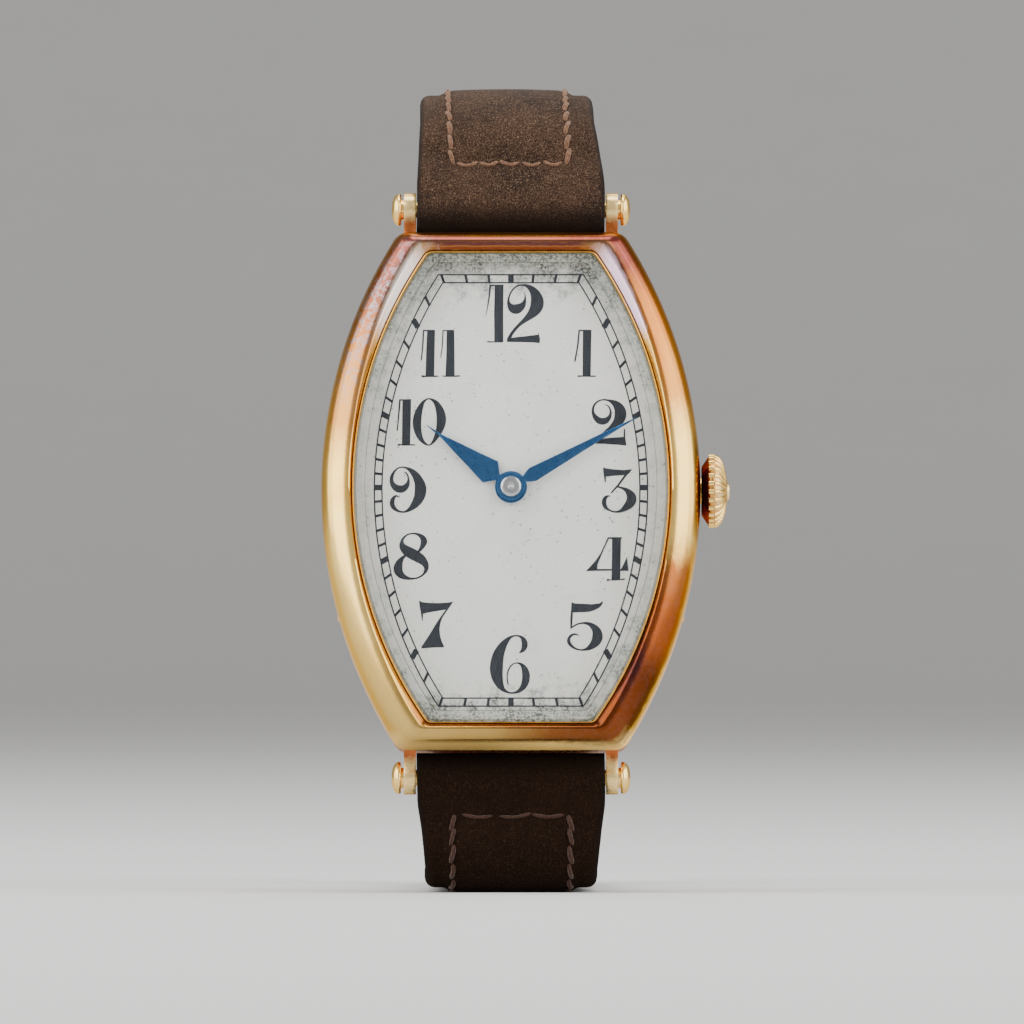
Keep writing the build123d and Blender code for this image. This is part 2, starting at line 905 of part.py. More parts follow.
def main_plate():
    plate = disc(plate_radius, plate_low, 0)
    x_low, x_high, y_low, y_high = stem_block_sizes()
    plate = plate + block(x_low, x_high, y_low, y_high, bridge_high + stem_block_cover, plate_low)
    recess = Circle(recess_radius)
    recess = recess + Pos(keyless_room_x, 0) * Rectangle(keyless_room_wide, keyless_room_high)
    plate = plate - slab(recess, recess_floor, 1)
    slot_low, slot_high = slot_sizes()
    plate = plate - block(slot_low, slot_high, -stem_slot_half, stem_slot_half, bridge_high - 1, 1)
    plate = plate - along_x(stem_radius + stem_fit, x_low - 1, plate_radius + 1, 0, stem_z)
    groove_x = setting_lever_pin[0] + stem_pull / 2
    x_low, x_high = groove_x - lever_groove[0], groove_x + lever_groove[1]
    plate = plate - block(x_low, x_high, -lever_groove_half, lever_groove_high, stem_z, 1)
    plate = plate - block(x_low, x_high, -lever_groove_half, lever_groove_wide, recess_floor, 1)
    for at, low in jewel_places():
        if low == plate_low:
            plate = plate - disc(jewel_radius, low - 1, low + jewel_thick, at)
            plate = plate - disc(pivot_radius + jewel_fit, low, 0, at)
    plate = plate - disc(arbor_radius + center_hole_room, plate_low - 1, 1, centre_at)
    plate = plate - disc(barrel_hole_radius, plate_low - 1, 1, barrel_at)
    for x, y in dial_feet_places():
        plate = plate - disc(dial_foot_radius + dial_foot_fit, plate_low - 1, 1, (x, y))
    plate = plate + wheel_post(minute_wheel_at, minute_pinion_high)
    return plate + wheel_post(setting_wheel_at, motion_low + motion_thick)


def bridge_screw_places():
    return {
        "barrel_bridge": [polar(bridge_screw_reach, 118), polar(bridge_screw_reach, 23)],
        "train_bridge": [polar(bridge_screw_reach, 168), polar(bridge_screw_reach, 232)],
    }


def movement_notches():
    notches = Sketch()
    for angle in movement_screw_angles:
        at = polar(plate_radius - movement_notch_inside, angle)
        notches = notches + Pos(*at) * Circle(movement_notch_radius)
    return notches


def split_line(shift):
    # The edge between the two bridges, moved up or down by a shift: it runs under the centre
    # arbor and clears the stem's block.
    reach = plate_radius + bridge_overreach
    under_stem = -stem_block_half - stem_slot_gap
    return [
        (-reach, 4.2 + shift),
        (-2.6, 1.0 + shift),
        (-1.35, -1.15 + shift),
        (3.4, -1.3 + shift),
        (stem_inner - 0.9, under_stem + shift),
        (reach, under_stem + shift),
    ]


def barrel_bridge():
    reach = plate_radius + bridge_overreach
    area = make_face(Polyline(*split_line(0), (reach, reach), (-reach, reach), close=True))
    area = (Circle(bridge_radius) & area) - movement_notches()
    top = slab(area, bridge_low, bridge_high)
    wall = area - Circle(bridge_wall)
    wall = wall - Pos(*barrel_at) * Circle(barrel_module * barrel_teeth / 2 + barrel_room)
    x_low, x_high, y_low, y_high = stem_block_sizes()
    middle = ((x_low + x_high) / 2, (y_low + y_high) / 2)
    room = Rectangle(x_high - x_low + 2 * stem_block_gap + 1, y_high - y_low + 2 * stem_block_gap)
    wall = wall - Pos(*middle) * room
    foot = slab(wall, bridge_high - foot_overlap, plate_low)
    bridge = top + foot
    ratchet_room = Pos(*barrel_at) * Circle(winding_module * (ratchet_teeth / 2 + winding_room))
    crown_room = Pos(*crown_wheel_at) * Circle(crown_wheel_radius + winding_module * winding_room)
    bridge = bridge - slab(ratchet_room + crown_room, bridge_low - 1, wheel_floor)
    bridge = bridge - disc(barrel_hole_radius, bridge_low - 1, 1, barrel_at)
    bridge = bridge - disc(pivot_radius + jewel_fit, bridge_low - 1, 1, centre_at)
    slot_low, slot_high = slot_sizes()
    bridge = bridge - block(slot_low, slot_high, -stem_slot_half, stem_slot_half, bridge_low - 1, 0)
    boss = disc(crown_boss_radius, winding_wheel_low - winding_seat_gap, bridge_high, crown_wheel_at)
    swept_low = stem_z - pinion_radius - pinion_gap
    boss = boss - block(slot_low, slot_high, -stem_slot_half, stem_slot_half, swept_low, 0)
    click_hole_high = bridge_low + click_pin_depth + click_pin_room
    click_hole = disc(click_pin_radius + click_pin_fit, bridge_low - 1, click_hole_high, click_pivot())
    bridge = bridge + boss - click_hole
    for at in bridge_screw_places()["barrel_bridge"]:
        bridge = bridge - disc(screw_room_radius, bridge_low - 1, bridge_low + screw_head, at)
    return bridge


def train_bridge():
    reach = plate_radius + bridge_overreach
    lower = make_face(
        Polyline(
            *split_line(-bridge_split)[:3],
            (-0.6, -2.4),
            (-0.35, -reach),
            (-reach, -reach),
            close=True,
        )
    )
    area = (Circle(bridge_radius) & lower) - movement_notches()
    bridge = slab(area, bridge_low, bridge_high)
    bridge = bridge + slab(area - Circle(bridge_wall), bridge_high - foot_overlap, plate_low)
    for at in (third_at, fourth_at, escape_at):
        bridge = bridge - disc(jewel_radius, bridge_high - jewel_thick, 0, at)
        bridge = bridge - disc(train_window, bridge_low - 1, bridge_high, at)
    for at in bridge_screw_places()["train_bridge"]:
        bridge = bridge - disc(screw_room_radius, bridge_low - 1, bridge_low + screw_head, at)
    return bridge


balance_foot_at = polar(cock_foot_reach, balance_angle + cock_foot_turn)


def balance_cock():
    # A round foot at the plate's edge, and a tapering arm over the balance staff.
    foot = Pos(*balance_foot_at) * Circle(cock_foot_radius)
    table = Pos(*balance_at) * Circle(cock_table_radius)
    arm = arm_between(balance_foot_at, balance_at, cock_arm_width)
    cock = slab(foot + table + arm, bridge_low, bridge_high)
    cock = cock + slab(foot, bridge_high - foot_overlap, plate_low)
    seat_low = bridge_high - 2 * jewel_thick - cap_jewel_stand
    cock = cock - disc(jewel_radius, seat_low, bridge_high, balance_at)
    at = balance_foot_at
    return cock - disc(screw_room_radius, bridge_low - 1, bridge_low + screw_head, at)


pallet_foot_at = polar(pallet_foot_reach, pallet_heading + pallet_foot_turn, pallet_at)
pallet_cock_low = plate_low - pallet_cock_drop
pallet_low = plate_low - pallet_drop


def pallet_cock():
    foot = Pos(*pallet_foot_at) * Circle(pallet_foot_radius)
    nose = Pos(*pallet_at) * Circle(pallet_nose_radius)
    arm = arm_between(pallet_foot_at, pallet_at, pallet_cock_arm)
    top = slab(foot + nose + arm, pallet_cock_low, pallet_cock_low + pallet_cock_thick)
    cock = top + slab(foot, pallet_cock_low + foot_overlap, plate_low)
    return cock - disc(pivot_radius + jewel_fit, pallet_cock_low - 1, 0, pallet_at)


def bridge_screws():
    high = bridge_low + screw_head - screw_seat_gap
    screws = []
    for places in bridge_screw_places().values():
        for at in places:
            screws.append(disc(screw_head_radius, bridge_low, high, at))
    screws.append(disc(screw_head_radius, bridge_low, high, balance_foot_at))
    slotted = []
    for number, screw in enumerate(screws):
        middle = screw.center()
        slot = Rot(0, 0, 40 * number) * Box(2, slot_width, slot_depth)
        slot = Pos(middle.X, middle.Y, bridge_low) * slot
        slotted.append(screw - slot)
    low = pallet_cock_low - pallet_cock_thick
    slotted.append(disc(pallet_nose_radius, low, pallet_cock_low, pallet_foot_at))
    return Compound(slotted)


def casing_ring():
    inset = middle_inset + middle_wall + case_fit
    face = case_outline(inset) - Circle(plate_radius + ring_fit)
    ring = slab(face, -ring_thick, -ring_dial_gap)
    for angle in movement_screw_angles:
        at = polar(plate_radius + ring_notch_reach, angle)
        ring = ring - disc(ring_notch_radius, -ring_thick - 1, plate_low, at)
    return ring


def movement_screws():
    screws = []
    for angle in movement_screw_angles:
        at = polar(plate_radius + movement_screw_reach, angle)
        low = plate_low - movement_screw_thick
        screw = disc(movement_screw_radius, low, plate_low, at)
        slot = Rot(0, 0, angle) * Box(2.4, slot_width, 0.25)
        slot = Pos(at[0], at[1], low) * slot
        screws.append(screw - slot)
    return Compound(screws)


# Going train


barrel_high = plate_low - barrel_plate_gap
barrel_flange_low = barrel_high - barrel_flange
barrel_low = barrel_high - barrel_height
drum_radius = barrel_module * barrel_teeth / 2 - barrel_rim_modules * barrel_module - barrel_plate_gap
barrel_tooth = barrel_angle + 180
center_pinion_tooth = mate_tooth(barrel_tooth, barrel_teeth, barrel_angle + 180, center_pinion_teeth)
center_tooth = third_angle
third_pinion_tooth = mate_tooth(center_tooth, center_teeth, third_angle, third_pinion_teeth)
third_tooth = heading(third_at, fourth_at)
fourth_pinion_tooth = mate_tooth(third_tooth, third_teeth, third_tooth, fourth_pinion_teeth)
fourth_tooth = heading(fourth_at, escape_at)
escape_pinion_tooth = mate_tooth(fourth_tooth, fourth_teeth, fourth_tooth, escape_pinion_teeth)
center_wheel_low = bridge_high + 0.2
third_wheel_low = plate_low - 0.4
fourth_wheel_low = plate_low - 1.1
escape_wheel_low = plate_low - 0.57
lower_stone_face = plate_low
upper_stone_face = bridge_high


def barrel():
    drum = disc(drum_radius, barrel_low, barrel_high, barrel_at)
    face = gear_face(barrel_teeth, barrel_module, barrel_tooth, barrel_at)
    teeth = slab(face, barrel_flange_low, barrel_high)
    hollow = disc(drum_radius - barrel_wall, barrel_low - 1, barrel_high - barrel_floor, barrel_at)
    bore = disc(barrel_hole_radius, barrel_low - 1, 1, barrel_at)
    return drum + teeth - hollow - bore


def barrel_cover():
    cover = disc(drum_radius - barrel_wall, barrel_low, barrel_low + barrel_floor, barrel_at)
    return cover - disc(barrel_hole_radius, barrel_low - 1, 0, barrel_at)


def barrel_arbor():
    core_low, core_high = barrel_low + barrel_core_gap, barrel_high - barrel_core_gap
    core = disc(barrel_arbor_radius, core_low, core_high, barrel_at)
    pin_low, pin_high = winding_wheel_low - winding_seat_gap, recess_floor - end_shake
    pin = disc(barrel_arbor_radius / 2, pin_low, pin_high, barrel_at)
    return core + pin


def spiral_strip(inner, outer, turns, strip, at):
    # A flat spiral ribbon drawn as half-circles, each a little wider than the last.
    halves = 2 * turns
    step = (outer - inner) / halves
    edges = []
    for side in (0, strip):
        low = inner + side
        x = -low
        path = []
        for half in range(halves):
            radius = low + half * step + step / 2
            sign = 1 if half % 2 == 0 else -1
            end = x + sign * 2 * radius
            path.append(ThreePointArc((x, 0), ((x + end) / 2, sign * radius), (end, 0)))
            x = end
        edges.append((path, x))
    closing = [Line((-inner, 0), (-inner - strip, 0)), Line((edges[0][1], 0), (edges[1][1], 0))]
    face = make_face(edges[0][0] + edges[1][0] + closing)
    return Pos(at[0], at[1]) * face


def mainspring():
    inner = barrel_arbor_radius + end_shake
    outer = drum_radius - barrel_wall - spring_strip - barrel_arbor_fit
    face = spiral_strip(inner, outer, spring_turns, spring_strip, barrel_at)
    return slab(face, barrel_low + spring_side_gap, barrel_high - spring_side_gap)


def center_wheel():
    wheel = spoked_wheel(center_teeth, center_module, center_tooth, centre_at, center_wheel_low)
    pinion = gear_face(center_pinion_teeth, barrel_module, center_pinion_tooth, centre_at)
    wheel = wheel + slab(pinion, barrel_flange_low - 0.4, plate_low - 0.05)
    wheel = wheel + disc(hub_radius, center_wheel_low - 0.1, barrel_flange_low - 0.3)
    wheel = wheel + disc(pivot_radius, bridge_low + 0.3, center_wheel_low)
    return wheel + disc(arbor_radius, barrel_flange_low - 0.3, minute_low)


def train_wheel(at, wheel_sizes, wheel_low, pinion_sizes, pinion_low, pinion_high):
    # The sizes are the teeth, the module and the angle of one tooth.
    wheel = spoked_wheel(*wheel_sizes, at, wheel_low)
    pinion = slab(gear_face(*pinion_sizes, at), pinion_low, pinion_high)
    return wheel + pinion + arbor(at, lower_stone_face, upper_stone_face)


def third_wheel():
    wheel = (third_teeth, third_module, third_tooth)
    pinion = (third_pinion_teeth, center_module, third_pinion_tooth)
    low = center_wheel_low - pinion_overhang
    high = center_wheel_low + wheel_thick + pinion_underhang
    return train_wheel(third_at, wheel, third_wheel_low, pinion, low, high)


def fourth_wheel():
    wheel = (fourth_teeth, fourth_module, fourth_tooth)
    pinion = (fourth_pinion_teeth, third_module, fourth_pinion_tooth)
    low = third_wheel_low - pinion_underhang
    high = third_wheel_low + wheel_thick + pinion_overhang
    return train_wheel(fourth_at, wheel, fourth_wheel_low, pinion, low, high)


def escape_wheel():
    # Club teeth leaning in the direction of rotation, on four spokes.
    pitch = 360 / escape_teeth
    start = pallet_heading + pitch / 2
    root = escape_radius * escape_root_share
    points = []
    for tooth in range(escape_teeth):
        middle = start + tooth * pitch
        points.append(polar(root, middle - 0.34 * pitch))
        points.append(polar(escape_radius, middle))
        points.append(polar(escape_radius * 0.96, middle + 0.16 * pitch))
        points.append(polar(root, middle + 0.1 * pitch))
    face = Pos(*escape_at) * make_face(Polyline(*points, close=True))
    face = windows(face, root - escape_rim, hub_radius, 4, escape_at)
    wheel = slab(face, escape_wheel_low, escape_wheel_low + escape_thick)
    pinion = gear_face(escape_pinion_teeth, fourth_module, escape_pinion_tooth, escape_at)
    low = fourth_wheel_low - pinion_underhang
    high = fourth_wheel_low + wheel_thick + pinion_overhang
    wheel = wheel + slab(pinion, low, high)
    return wheel + arbor(escape_at, lower_stone_face, upper_stone_face)


# Escapement


def pallet_fork():
    # Anchor with two stones round the escape wheel, and a fork that ends short of the roller pin.
    stone_circle = escape_radius + pallet_gap
    local_escape = (-pallet_reach, 0.0)
    fork_end = span(pallet_at, balance_at) - roller_pin_circle - pallet_pin_gap
    lever = Pos(fork_end / 2, 0) * Rectangle(fork_end, pallet_lever_width)
    horn = Rectangle(pallet_lever_width, pallet_horn_width)
    horn = Pos(fork_end - pallet_lever_width / 2, 0) * horn
    anchor = Sketch() + lever + horn + Circle(pallet_hub_radius)
    for side in (-1, 1):
        stone = polar(stone_circle + pallet_stone_room, side * pallet_stone_angle, local_escape)
        anchor = anchor + arm_between(centre_at, stone, pallet_arm_width)
        anchor = anchor + Pos(*stone) * Circle(pallet_stone_radius)
    anchor = anchor - Pos(fork_end, 0) * Rectangle(0.4, pallet_slot_width)
    fork = slab(anchor, pallet_low, pallet_low + pallet_thick)
    staff = disc(pivot_radius, pallet_cock_low + 0.05, plate_low + jewel_thick)
    staff_low = pallet_cock_low + pallet_cock_thick + 0.05
    fork = fork + staff + disc(pallet_staff_radius, staff_low, plate_low - end_shake)
    return Pos(pallet_at[0], pallet_at[1]) * Rot(0, 0, pallet_heading) * fork


balance_low = plate_low - balance_drop - balance_height
hairspring_low = balance_low - hairspring_gap


def balance_wheel():
    rim = Circle(balance_radius) - Circle(balance_radius - balance_rim)
    arm = Rectangle(2 * balance_radius - balance_rim, balance_arm_width)
    arm = Rot(0, 0, balance_angle) * arm
    wheel = slab(rim, balance_low, balance_low + balance_height)
    arm_low = balance_low + balance_arm_lift
    wheel = wheel + slab(arm, arm_low, arm_low + balance_arm_thick)
    roller_high = pallet_low - roller_gap
    wheel = wheel + disc(roller_radius, roller_high - roller_thick, roller_high)
    staff_low = upper_stone_face + end_shake
    wheel = wheel + disc(arbor_radius, staff_low, lower_stone_face - end_shake)
    wheel = wheel + disc(pivot_radius, upper_stone_face - jewel_thick, plate_low + jewel_thick)
    pin_at = polar(roller_pin_circle, pallet_heading + 180)
    wheel = wheel + disc(roller_pin_radius, roller_high - roller_pin_seat, pallet_low + pallet_thick, pin_at)
    return Pos(balance_at[0], balance_at[1]) * wheel


def hairspring():
    inner = arbor_radius + hairspring_start
    face = spiral_strip(inner, hairspring_outer, hairspring_turns, hairspring_strip, balance_at)
    return slab(face, hairspring_low, hairspring_low + hairspring_height)


# Motion work under the dial


motion_low = recess_floor + 0.08
motion_thick = 0.2
minute_pinion_high = motion_low + 2.4 * motion_thick
cannon_tooth = minute_wheel_angle
minute_wheel_tooth = mate_tooth(cannon_tooth, cannon_teeth, minute_wheel_angle, minute_wheel_teeth)
minute_pinion_tooth = minute_wheel_angle
hour_wheel_tooth = mate_tooth(
    minute_pinion_tooth, minute_pinion_teeth, minute_wheel_angle + 180, hour_wheel_teeth
)
setting_wheel_tooth = mate_tooth(
    minute_wheel_tooth, minute_wheel_teeth, setting_wheel_turn, setting_wheel_teeth
)


def cannon_pinion():
    face = gear_face(cannon_teeth, motion_module, cannon_tooth, centre_at)
    pinion = slab(face, motion_low, motion_low + motion_thick)
    pipe = disc(cannon_radius, motion_low, minute_low)
    return pinion + pipe - disc(cannon_bore, motion_low - 1, minute_low + 1)


def wheel_post(at, wheel_high):
    # The stud on the main plate that a wheel under the dial turns on.
    return disc(wheel_post_radius, recess_floor - 0.1, wheel_high + wheel_post_stand, at)


def wheel_post_bore(at):
    return disc(wheel_post_radius + wheel_post_gap, recess_floor, dial_thick, at)


def minute_wheel():
    at = minute_wheel_at
    wheel_face = gear_face(minute_wheel_teeth, motion_module, minute_wheel_tooth, at)
    pinion_face = gear_face(minute_pinion_teeth, motion_module, minute_pinion_tooth, at)
    wheel = slab(wheel_face, motion_low, motion_low + motion_thick * 0.8)
    pinion = slab(pinion_face, motion_low + 0.1, minute_pinion_high)
    return wheel + pinion - wheel_post_bore(at)


def hour_wheel():
    low = motion_low + motion_thick + 0.05
    face = gear_face(hour_wheel_teeth, motion_module, hour_wheel_tooth, centre_at)
    wheel = slab(face, low, low + motion_thick)
    pipe = disc(hour_pipe_radius, low, hour_low + hand_thick)
    return wheel + pipe - disc(hour_pipe_bore, low - 1, minute_low + 1)


def setting_wheel():
    at = setting_wheel_at
    face = gear_face(setting_wheel_teeth, motion_module, setting_wheel_tooth, at)
    return slab(face, motion_low, motion_low + motion_thick) - wheel_post_bore(at)


# Winding and setting works


ratchet_tooth = heading(barrel_at, crown_wheel_at)
crown_wheel_tooth = mate_tooth(ratchet_tooth, ratchet_teeth, ratchet_tooth, crown_wheel_teeth)


def ratchet_wheel():
    face = gear_face(ratchet_teeth, winding_module, ratchet_tooth, barrel_at)
    wheel = slab(face, winding_wheel_low, winding_wheel_low + winding_wheel_thick)
    return wheel - disc(barrel_arbor_radius / 2, winding_wheel_low - 1, 0, barrel_at)


def crown_wheel():
    face = gear_face(crown_wheel_teeth, winding_module, crown_wheel_tooth, crown_wheel_at)
    wheel = slab(face, winding_wheel_low, winding_wheel_low + winding_wheel_thick)
    return wheel - disc(crown_wheel_bore, winding_wheel_low - 1, 0, crown_wheel_at)


def winding_screws():
    low = winding_wheel_low - screw_head
    screws = []
    for at, radius in ((barrel_at, ratchet_screw_radius), (crown_wheel_at, crown_screw_radius)):
        head = disc(radius, low, winding_wheel_low - wheel_gap, at)
        slot = Rot(0, 0, winding_slot_turn) * Box(2 * radius, slot_width, winding_slot_depth)
        slot = Pos(at[0], at[1], low) * slot
        screws.append(head - slot)
    return screws


def click():
    # A small pawl beside the ratchet wheel, its tip just clear of the teeth.
    tip_at = polar(ratchet_tip_circle() + click_tip_gap, click_tip_angle, barrel_at)
    pivot_at = click_pivot()
    arm = arm_between(pivot_at, tip_at, click_arm_width)
    face = Pos(*pivot_at) * Circle(click_radius) + arm
    high = bridge_low - click_gap
    pawl = slab(face, high - click_thick, high)
    pin_high = bridge_low + click_pin_depth
    return pawl + disc(click_pin_radius, high - click_thick, pin_high, pivot_at)


def ratchet_tip_circle():
    return winding_module * (ratchet_teeth / 2 + tooth_tip_modules)


def click_pivot():
    return polar(ratchet_tip_circle() + click_reach, click_angle, barrel_at)


def pinion_ring(teeth, radius, x_low, x_high):
    # Straight-toothed ring on the stem's axis.
    module = 2 * radius / (teeth + 2 * tooth_tip_modules)
    face = gear_face(teeth, module, 90, (0.0, 0.0))
    return Pos(x_low, 0, stem_z) * Rot(0, 90, 0) * extrude(face, x_high - x_low)


def winding_pinion():
    x_low = winding_pinion_x - winding_pinion_width / 2
    x_high = x_low + winding_pinion_width
    ring = pinion_ring(winding_pinion_teeth, pinion_radius, x_low, x_high)
    return ring - along_x(stem_radius + press_gap, x_low - 1, x_high + 1, 0, stem_z)


def sliding_pinion():
    x_low = sliding_pinion_x
    x_high = x_low + sliding_pinion_length
    ring = pinion_ring(winding_pinion_teeth, pinion_radius, x_low, x_high)
    groove_low = x_low + (sliding_pinion_length - sliding_groove_width) / 2
    groove = along_x(2 * pinion_radius, groove_low, groove_low + sliding_groove_width, 0, stem_z)
    groove = groove - along_x(sliding_groove_radius, x_low - 1, x_high + 1, 0, stem_z)
    return ring - groove - along_x(stem_radius + stem_fit, x_low - 1, x_high + 1, 0, stem_z)


def winding_stem():
    stem = along_x(stem_radius, stem_inner, crown_low_x + crown_skirt + crown_stem_seat, 0, stem_z)
    middle = setting_lever_pin[0]
    groove = along_x(1, middle - stem_groove_width / 2, middle + stem_groove_width / 2, 0, stem_z)
    core = along_x(stem_groove_radius, stem_inner, plate_radius, 0, stem_z)
    return stem - (groove - core)


crown_low_x = case_half_width + crown_gap


def crown():
    rib_low = crown_low_x + crown_skirt
    rib_high = rib_low + crown_rib_length
    points = []
    for rib in range(crown_ribs):
        middle = 360 * rib / crown_ribs
        step = 360 / crown_ribs
        points.append(polar(crown_radius, middle - crown_rib_share * step))
        points.append(polar(crown_radius, middle + crown_rib_share * step))
        points.append(polar(crown_radius - crown_rib_depth, middle + 0.5 * step))
    ribs = Rot(0, 90, 0) * extrude(make_face(Polyline(*points, close=True)), crown_rib_length)
    body_radius = crown_radius - crown_rib_depth / 2
    skirt_radius = body_radius * crown_skirt_share
    dome_radius = body_radius * crown_dome_radius_share
    dome_end = crown_reach - rib_high
    profile = make_face(
        [
            Line((0, -crown_skirt), (skirt_radius, -crown_skirt)),
            Line((skirt_radius, -crown_skirt), (body_radius, 0)),
            Line((body_radius, 0), (body_radius, crown_rib_length)),
            Spline(
                (body_radius, crown_rib_length),
                (dome_radius, crown_rib_length + dome_end * crown_dome_reach_share),
                (crown_button, crown_rib_length + dome_end),
            ),
            Line((crown_button, crown_rib_length + dome_end), (0, crown_rib_length + dome_end)),
            Line((0, crown_rib_length + dome_end), (0, -crown_skirt)),
        ]
    )
    body = Rot(0, 90, 0) * revolve(Plane.XZ * profile, Axis.Z)
    button_low = crown_reach - rib_low
    button = along_x(crown_button, button_low - 0.1, button_low + crown_button_rise)
    knob = Pos(rib_low, 0, stem_z) * (body + ribs + button)
    room_end = case_half_width + tube_stand + tube_end_gap
    room = along_x(tube_radius + tube_fit, crown_low_x - 1, room_end, 0, stem_z)
    stem_end = crown_low_x + crown_skirt + crown_stem_seat
    stem_hole = along_x(stem_radius, crown_low_x - 1, stem_end, 0, stem_z)
    return knob - room - stem_hole


lever_low = recess_floor + lever_gap
lever_high = lever_low + lever_thick


def lever_pin(at, low, radius):
    return disc(radius, low, lever_high, at)


def setting_lever():
    pivot = setting_lever_pivot
    nose = setting_lever_pin
    tail = (pivot[0] + setting_tail[0], pivot[1] + setting_tail[1])
    flat = Pos(*pivot) * Circle(setting_pivot_radius) + arm_between(pivot, nose, setting_arm_width)
    flat = flat + Pos(*nose) * Circle(setting_nose_radius)
    flat = flat + arm_between(pivot, tail, setting_tail_width)
    flat = flat + Pos(*tail) * Circle(setting_tail_radius)
    lever = slab(flat, lever_low, lever_high)
    return lever + lever_pin(nose, stem_z + stem_groove_radius + lever_pin_gap, setting_pin_radius)


def yoke_pin():
    middle = sliding_pinion_x + sliding_pinion_length / 2
    return (middle, 0.0)


def yoke():
    pivot = yoke_pivot
    nose = yoke_pin()
    flat = Pos(*pivot) * Circle(yoke_pivot_radius) + arm_between(pivot, nose, yoke_arm_width)
    flat = flat + Pos(*nose) * Circle(yoke_nose_radius)
    arm = slab(flat, lever_low, lever_high)
    return arm + lever_pin(nose, stem_z + sliding_groove_radius + lever_pin_gap, yoke_pin_radius)


def setting_lever_spring():
    # Thin cover over the lever and the yoke, with its long spring finger.
    low = lever_high + lever_gap
    plate = Pos(*lever_cover_at) * Rectangle(*lever_cover_size)
    plate = plate + arm_between(*lever_finger, lever_finger_width)
    plate = plate + arm_between(*yoke_finger, yoke_finger_width)
    plate = plate + Pos(*yoke_pivot) * Circle(yoke_finger_end)
    return slab(plate, low, low + lever_cover_thick)


# Strap


def unit(start, end):
    length = span(start, end)
    return ((end[0] - start[0]) / length, (end[1] - start[1]) / length)


def shifted(points, side):
    # The path moved sideways by a distance, to its left where the distance is positive.
    normals = []
    for start, end in zip(points, points[1:]):
        along = unit(start, end)
        normals.append((-along[1], along[0]))
    normals = [normals[0]] + normals + [normals[-1]]
    moved = []
    for point, before, after in zip(points, normals, normals[1:]):
        share = 1 + before[0] * after[0] + before[1] * after[1]
        across = ((before[0] + after[0]) / share, (before[1] + after[1]) / share)
        moved.append((point[0] + side * across[0], point[1] + side * across[1]))
    return moved


def band_profile(points, radii):
    # Side view in Y and Z of a strap along a path whose corners all turn left.
    half = strap_thick / 2
    left = shifted(points, half)
    right = shifted(points, -half)
    inner = FilletPolyline(*left, radius=[radius - half for radius in radii])
    outer = FilletPolyline(*right, radius=[radius + half for radius in radii])
    ends = [Line(left[0], right[0]), Line(left[-1], right[-1])]
    return make_face(list(inner.edges()) + list(outer.edges()) + ends)


def across_x(face, half):
    return extrude(Plane.YZ * face, half, both=True)


def taper(stations):
    # Plan view of the strap's width: pairs of a Y place and a half-width.
    right = [(half, y) for y, half in stations]
    left = [(-half, y) for y, half in reversed(stations)]
    plan = make_face(Polyline(*right, *left, close=True))
    return Pos(0, 0, -5) * extrude(plan, top_z + 20)


lower_middle = strap_thick / 2
lower_path = [
    (bar_y, bar_height),
    (bar_y - lower_lean, lower_middle),
    (tail_y - tail_run, lower_middle),
    (tail_y, tail_rise),
    (tail_y - tail_lean, tail_tip),
]
lower_radii = [lower_bend, tail_bend, tail_curl]
upper_path = [
    (upper_bar_y, upper_bar_height),
    (upper_bar_y, top_z),
    (drop_y - drop_run, top_z - top_fall),
    (drop_y, buckle_height + drop_length),
    (drop_y, buckle_height),
]
upper_radii = [upper_bend, drop_bend, drop_bend]


def strap_root(y, height):
    return along_x(strap_roll, -strap_half, strap_half, y, height)


def bar_hole(y, height):
    return along_x(bar_radius + strap_fit, -strap_half - 1, strap_half + 1, y, height)


def tail_holes():
    # Round holes along the tail, measured back from its tip along the middle of the strap.
    middle = Wire(FilletPolyline(*lower_path, radius=lower_radii).edges())
    holes = []
    for number in range(hole_count):
        reach = middle.length - hole_first - number * hole_pitch
        at = middle.position_at(reach, position_mode=PositionMode.LENGTH)
        along = middle.tangent_at(reach, position_mode=PositionMode.LENGTH)
        turn = math.degrees(math.atan2(along.Y, along.X)) - 90
        punch = Rot(turn, 0, 0) * along_y(hole_radius, -strap_thick, strap_thick)
        holes.append(Pos(0, at.X, at.Y) * punch)
    return holes


def lower_strap():
    body = across_x(band_profile(lower_path, lower_radii), strap_half)
    stations = [(bar_y - 5, strap_half), (bar_y, strap_half), (bar_y + bend_run, bend_half)]
    width = taper(stations + [(tail_y + 5, tail_half)])
    low = Pos(0, (tail_tip - tail_half) / 2 - 2) * Rectangle(2 * strap_half, tail_tip - tail_half + 4)
    shape = low + Pos(0, tail_tip - tail_half) * Circle(tail_half)
    ending = extrude(Plane.XZ * shape, 60, both=True)
    body = (body + strap_root(bar_y, bar_height)) & width & ending
    for hole in tail_holes():
        body = body - hole
    return body - bar_hole(bar_y, bar_height)


def upper_strap():
    path = [(y, -z) for y, z in upper_path]
    profile = mirror(band_profile(path, upper_radii), Plane.XZ)
    body = across_x(profile, strap_half)
    start = upper_bar_y
    stations = [(start - 5, strap_half), (start, strap_half), (start + bend_run, bend_half)]
    width = taper(stations + [(drop_y + 3, drop_half)])
    body = (body + strap_root(start, upper_bar_height)) & width
    body = body + along_x(buckle_roll, -drop_half, drop_half, drop_y, buckle_height)
    reach = drop_half + 1
    body = body - along_x(buckle_bar_radius + buckle_fit, -reach, reach, drop_y, buckle_height)
    slot_half = tongue_width / 2 + tongue_slot_gap
    slot_low, slot_high = buckle_height - tongue_slot_low, buckle_height + tongue_slot_high
    slot = block(-slot_half, slot_half, drop_y - 3, drop_y + 3, slot_low, slot_high)
    return body - slot - bar_hole(start, upper_bar_height)


# Buckle and keepers


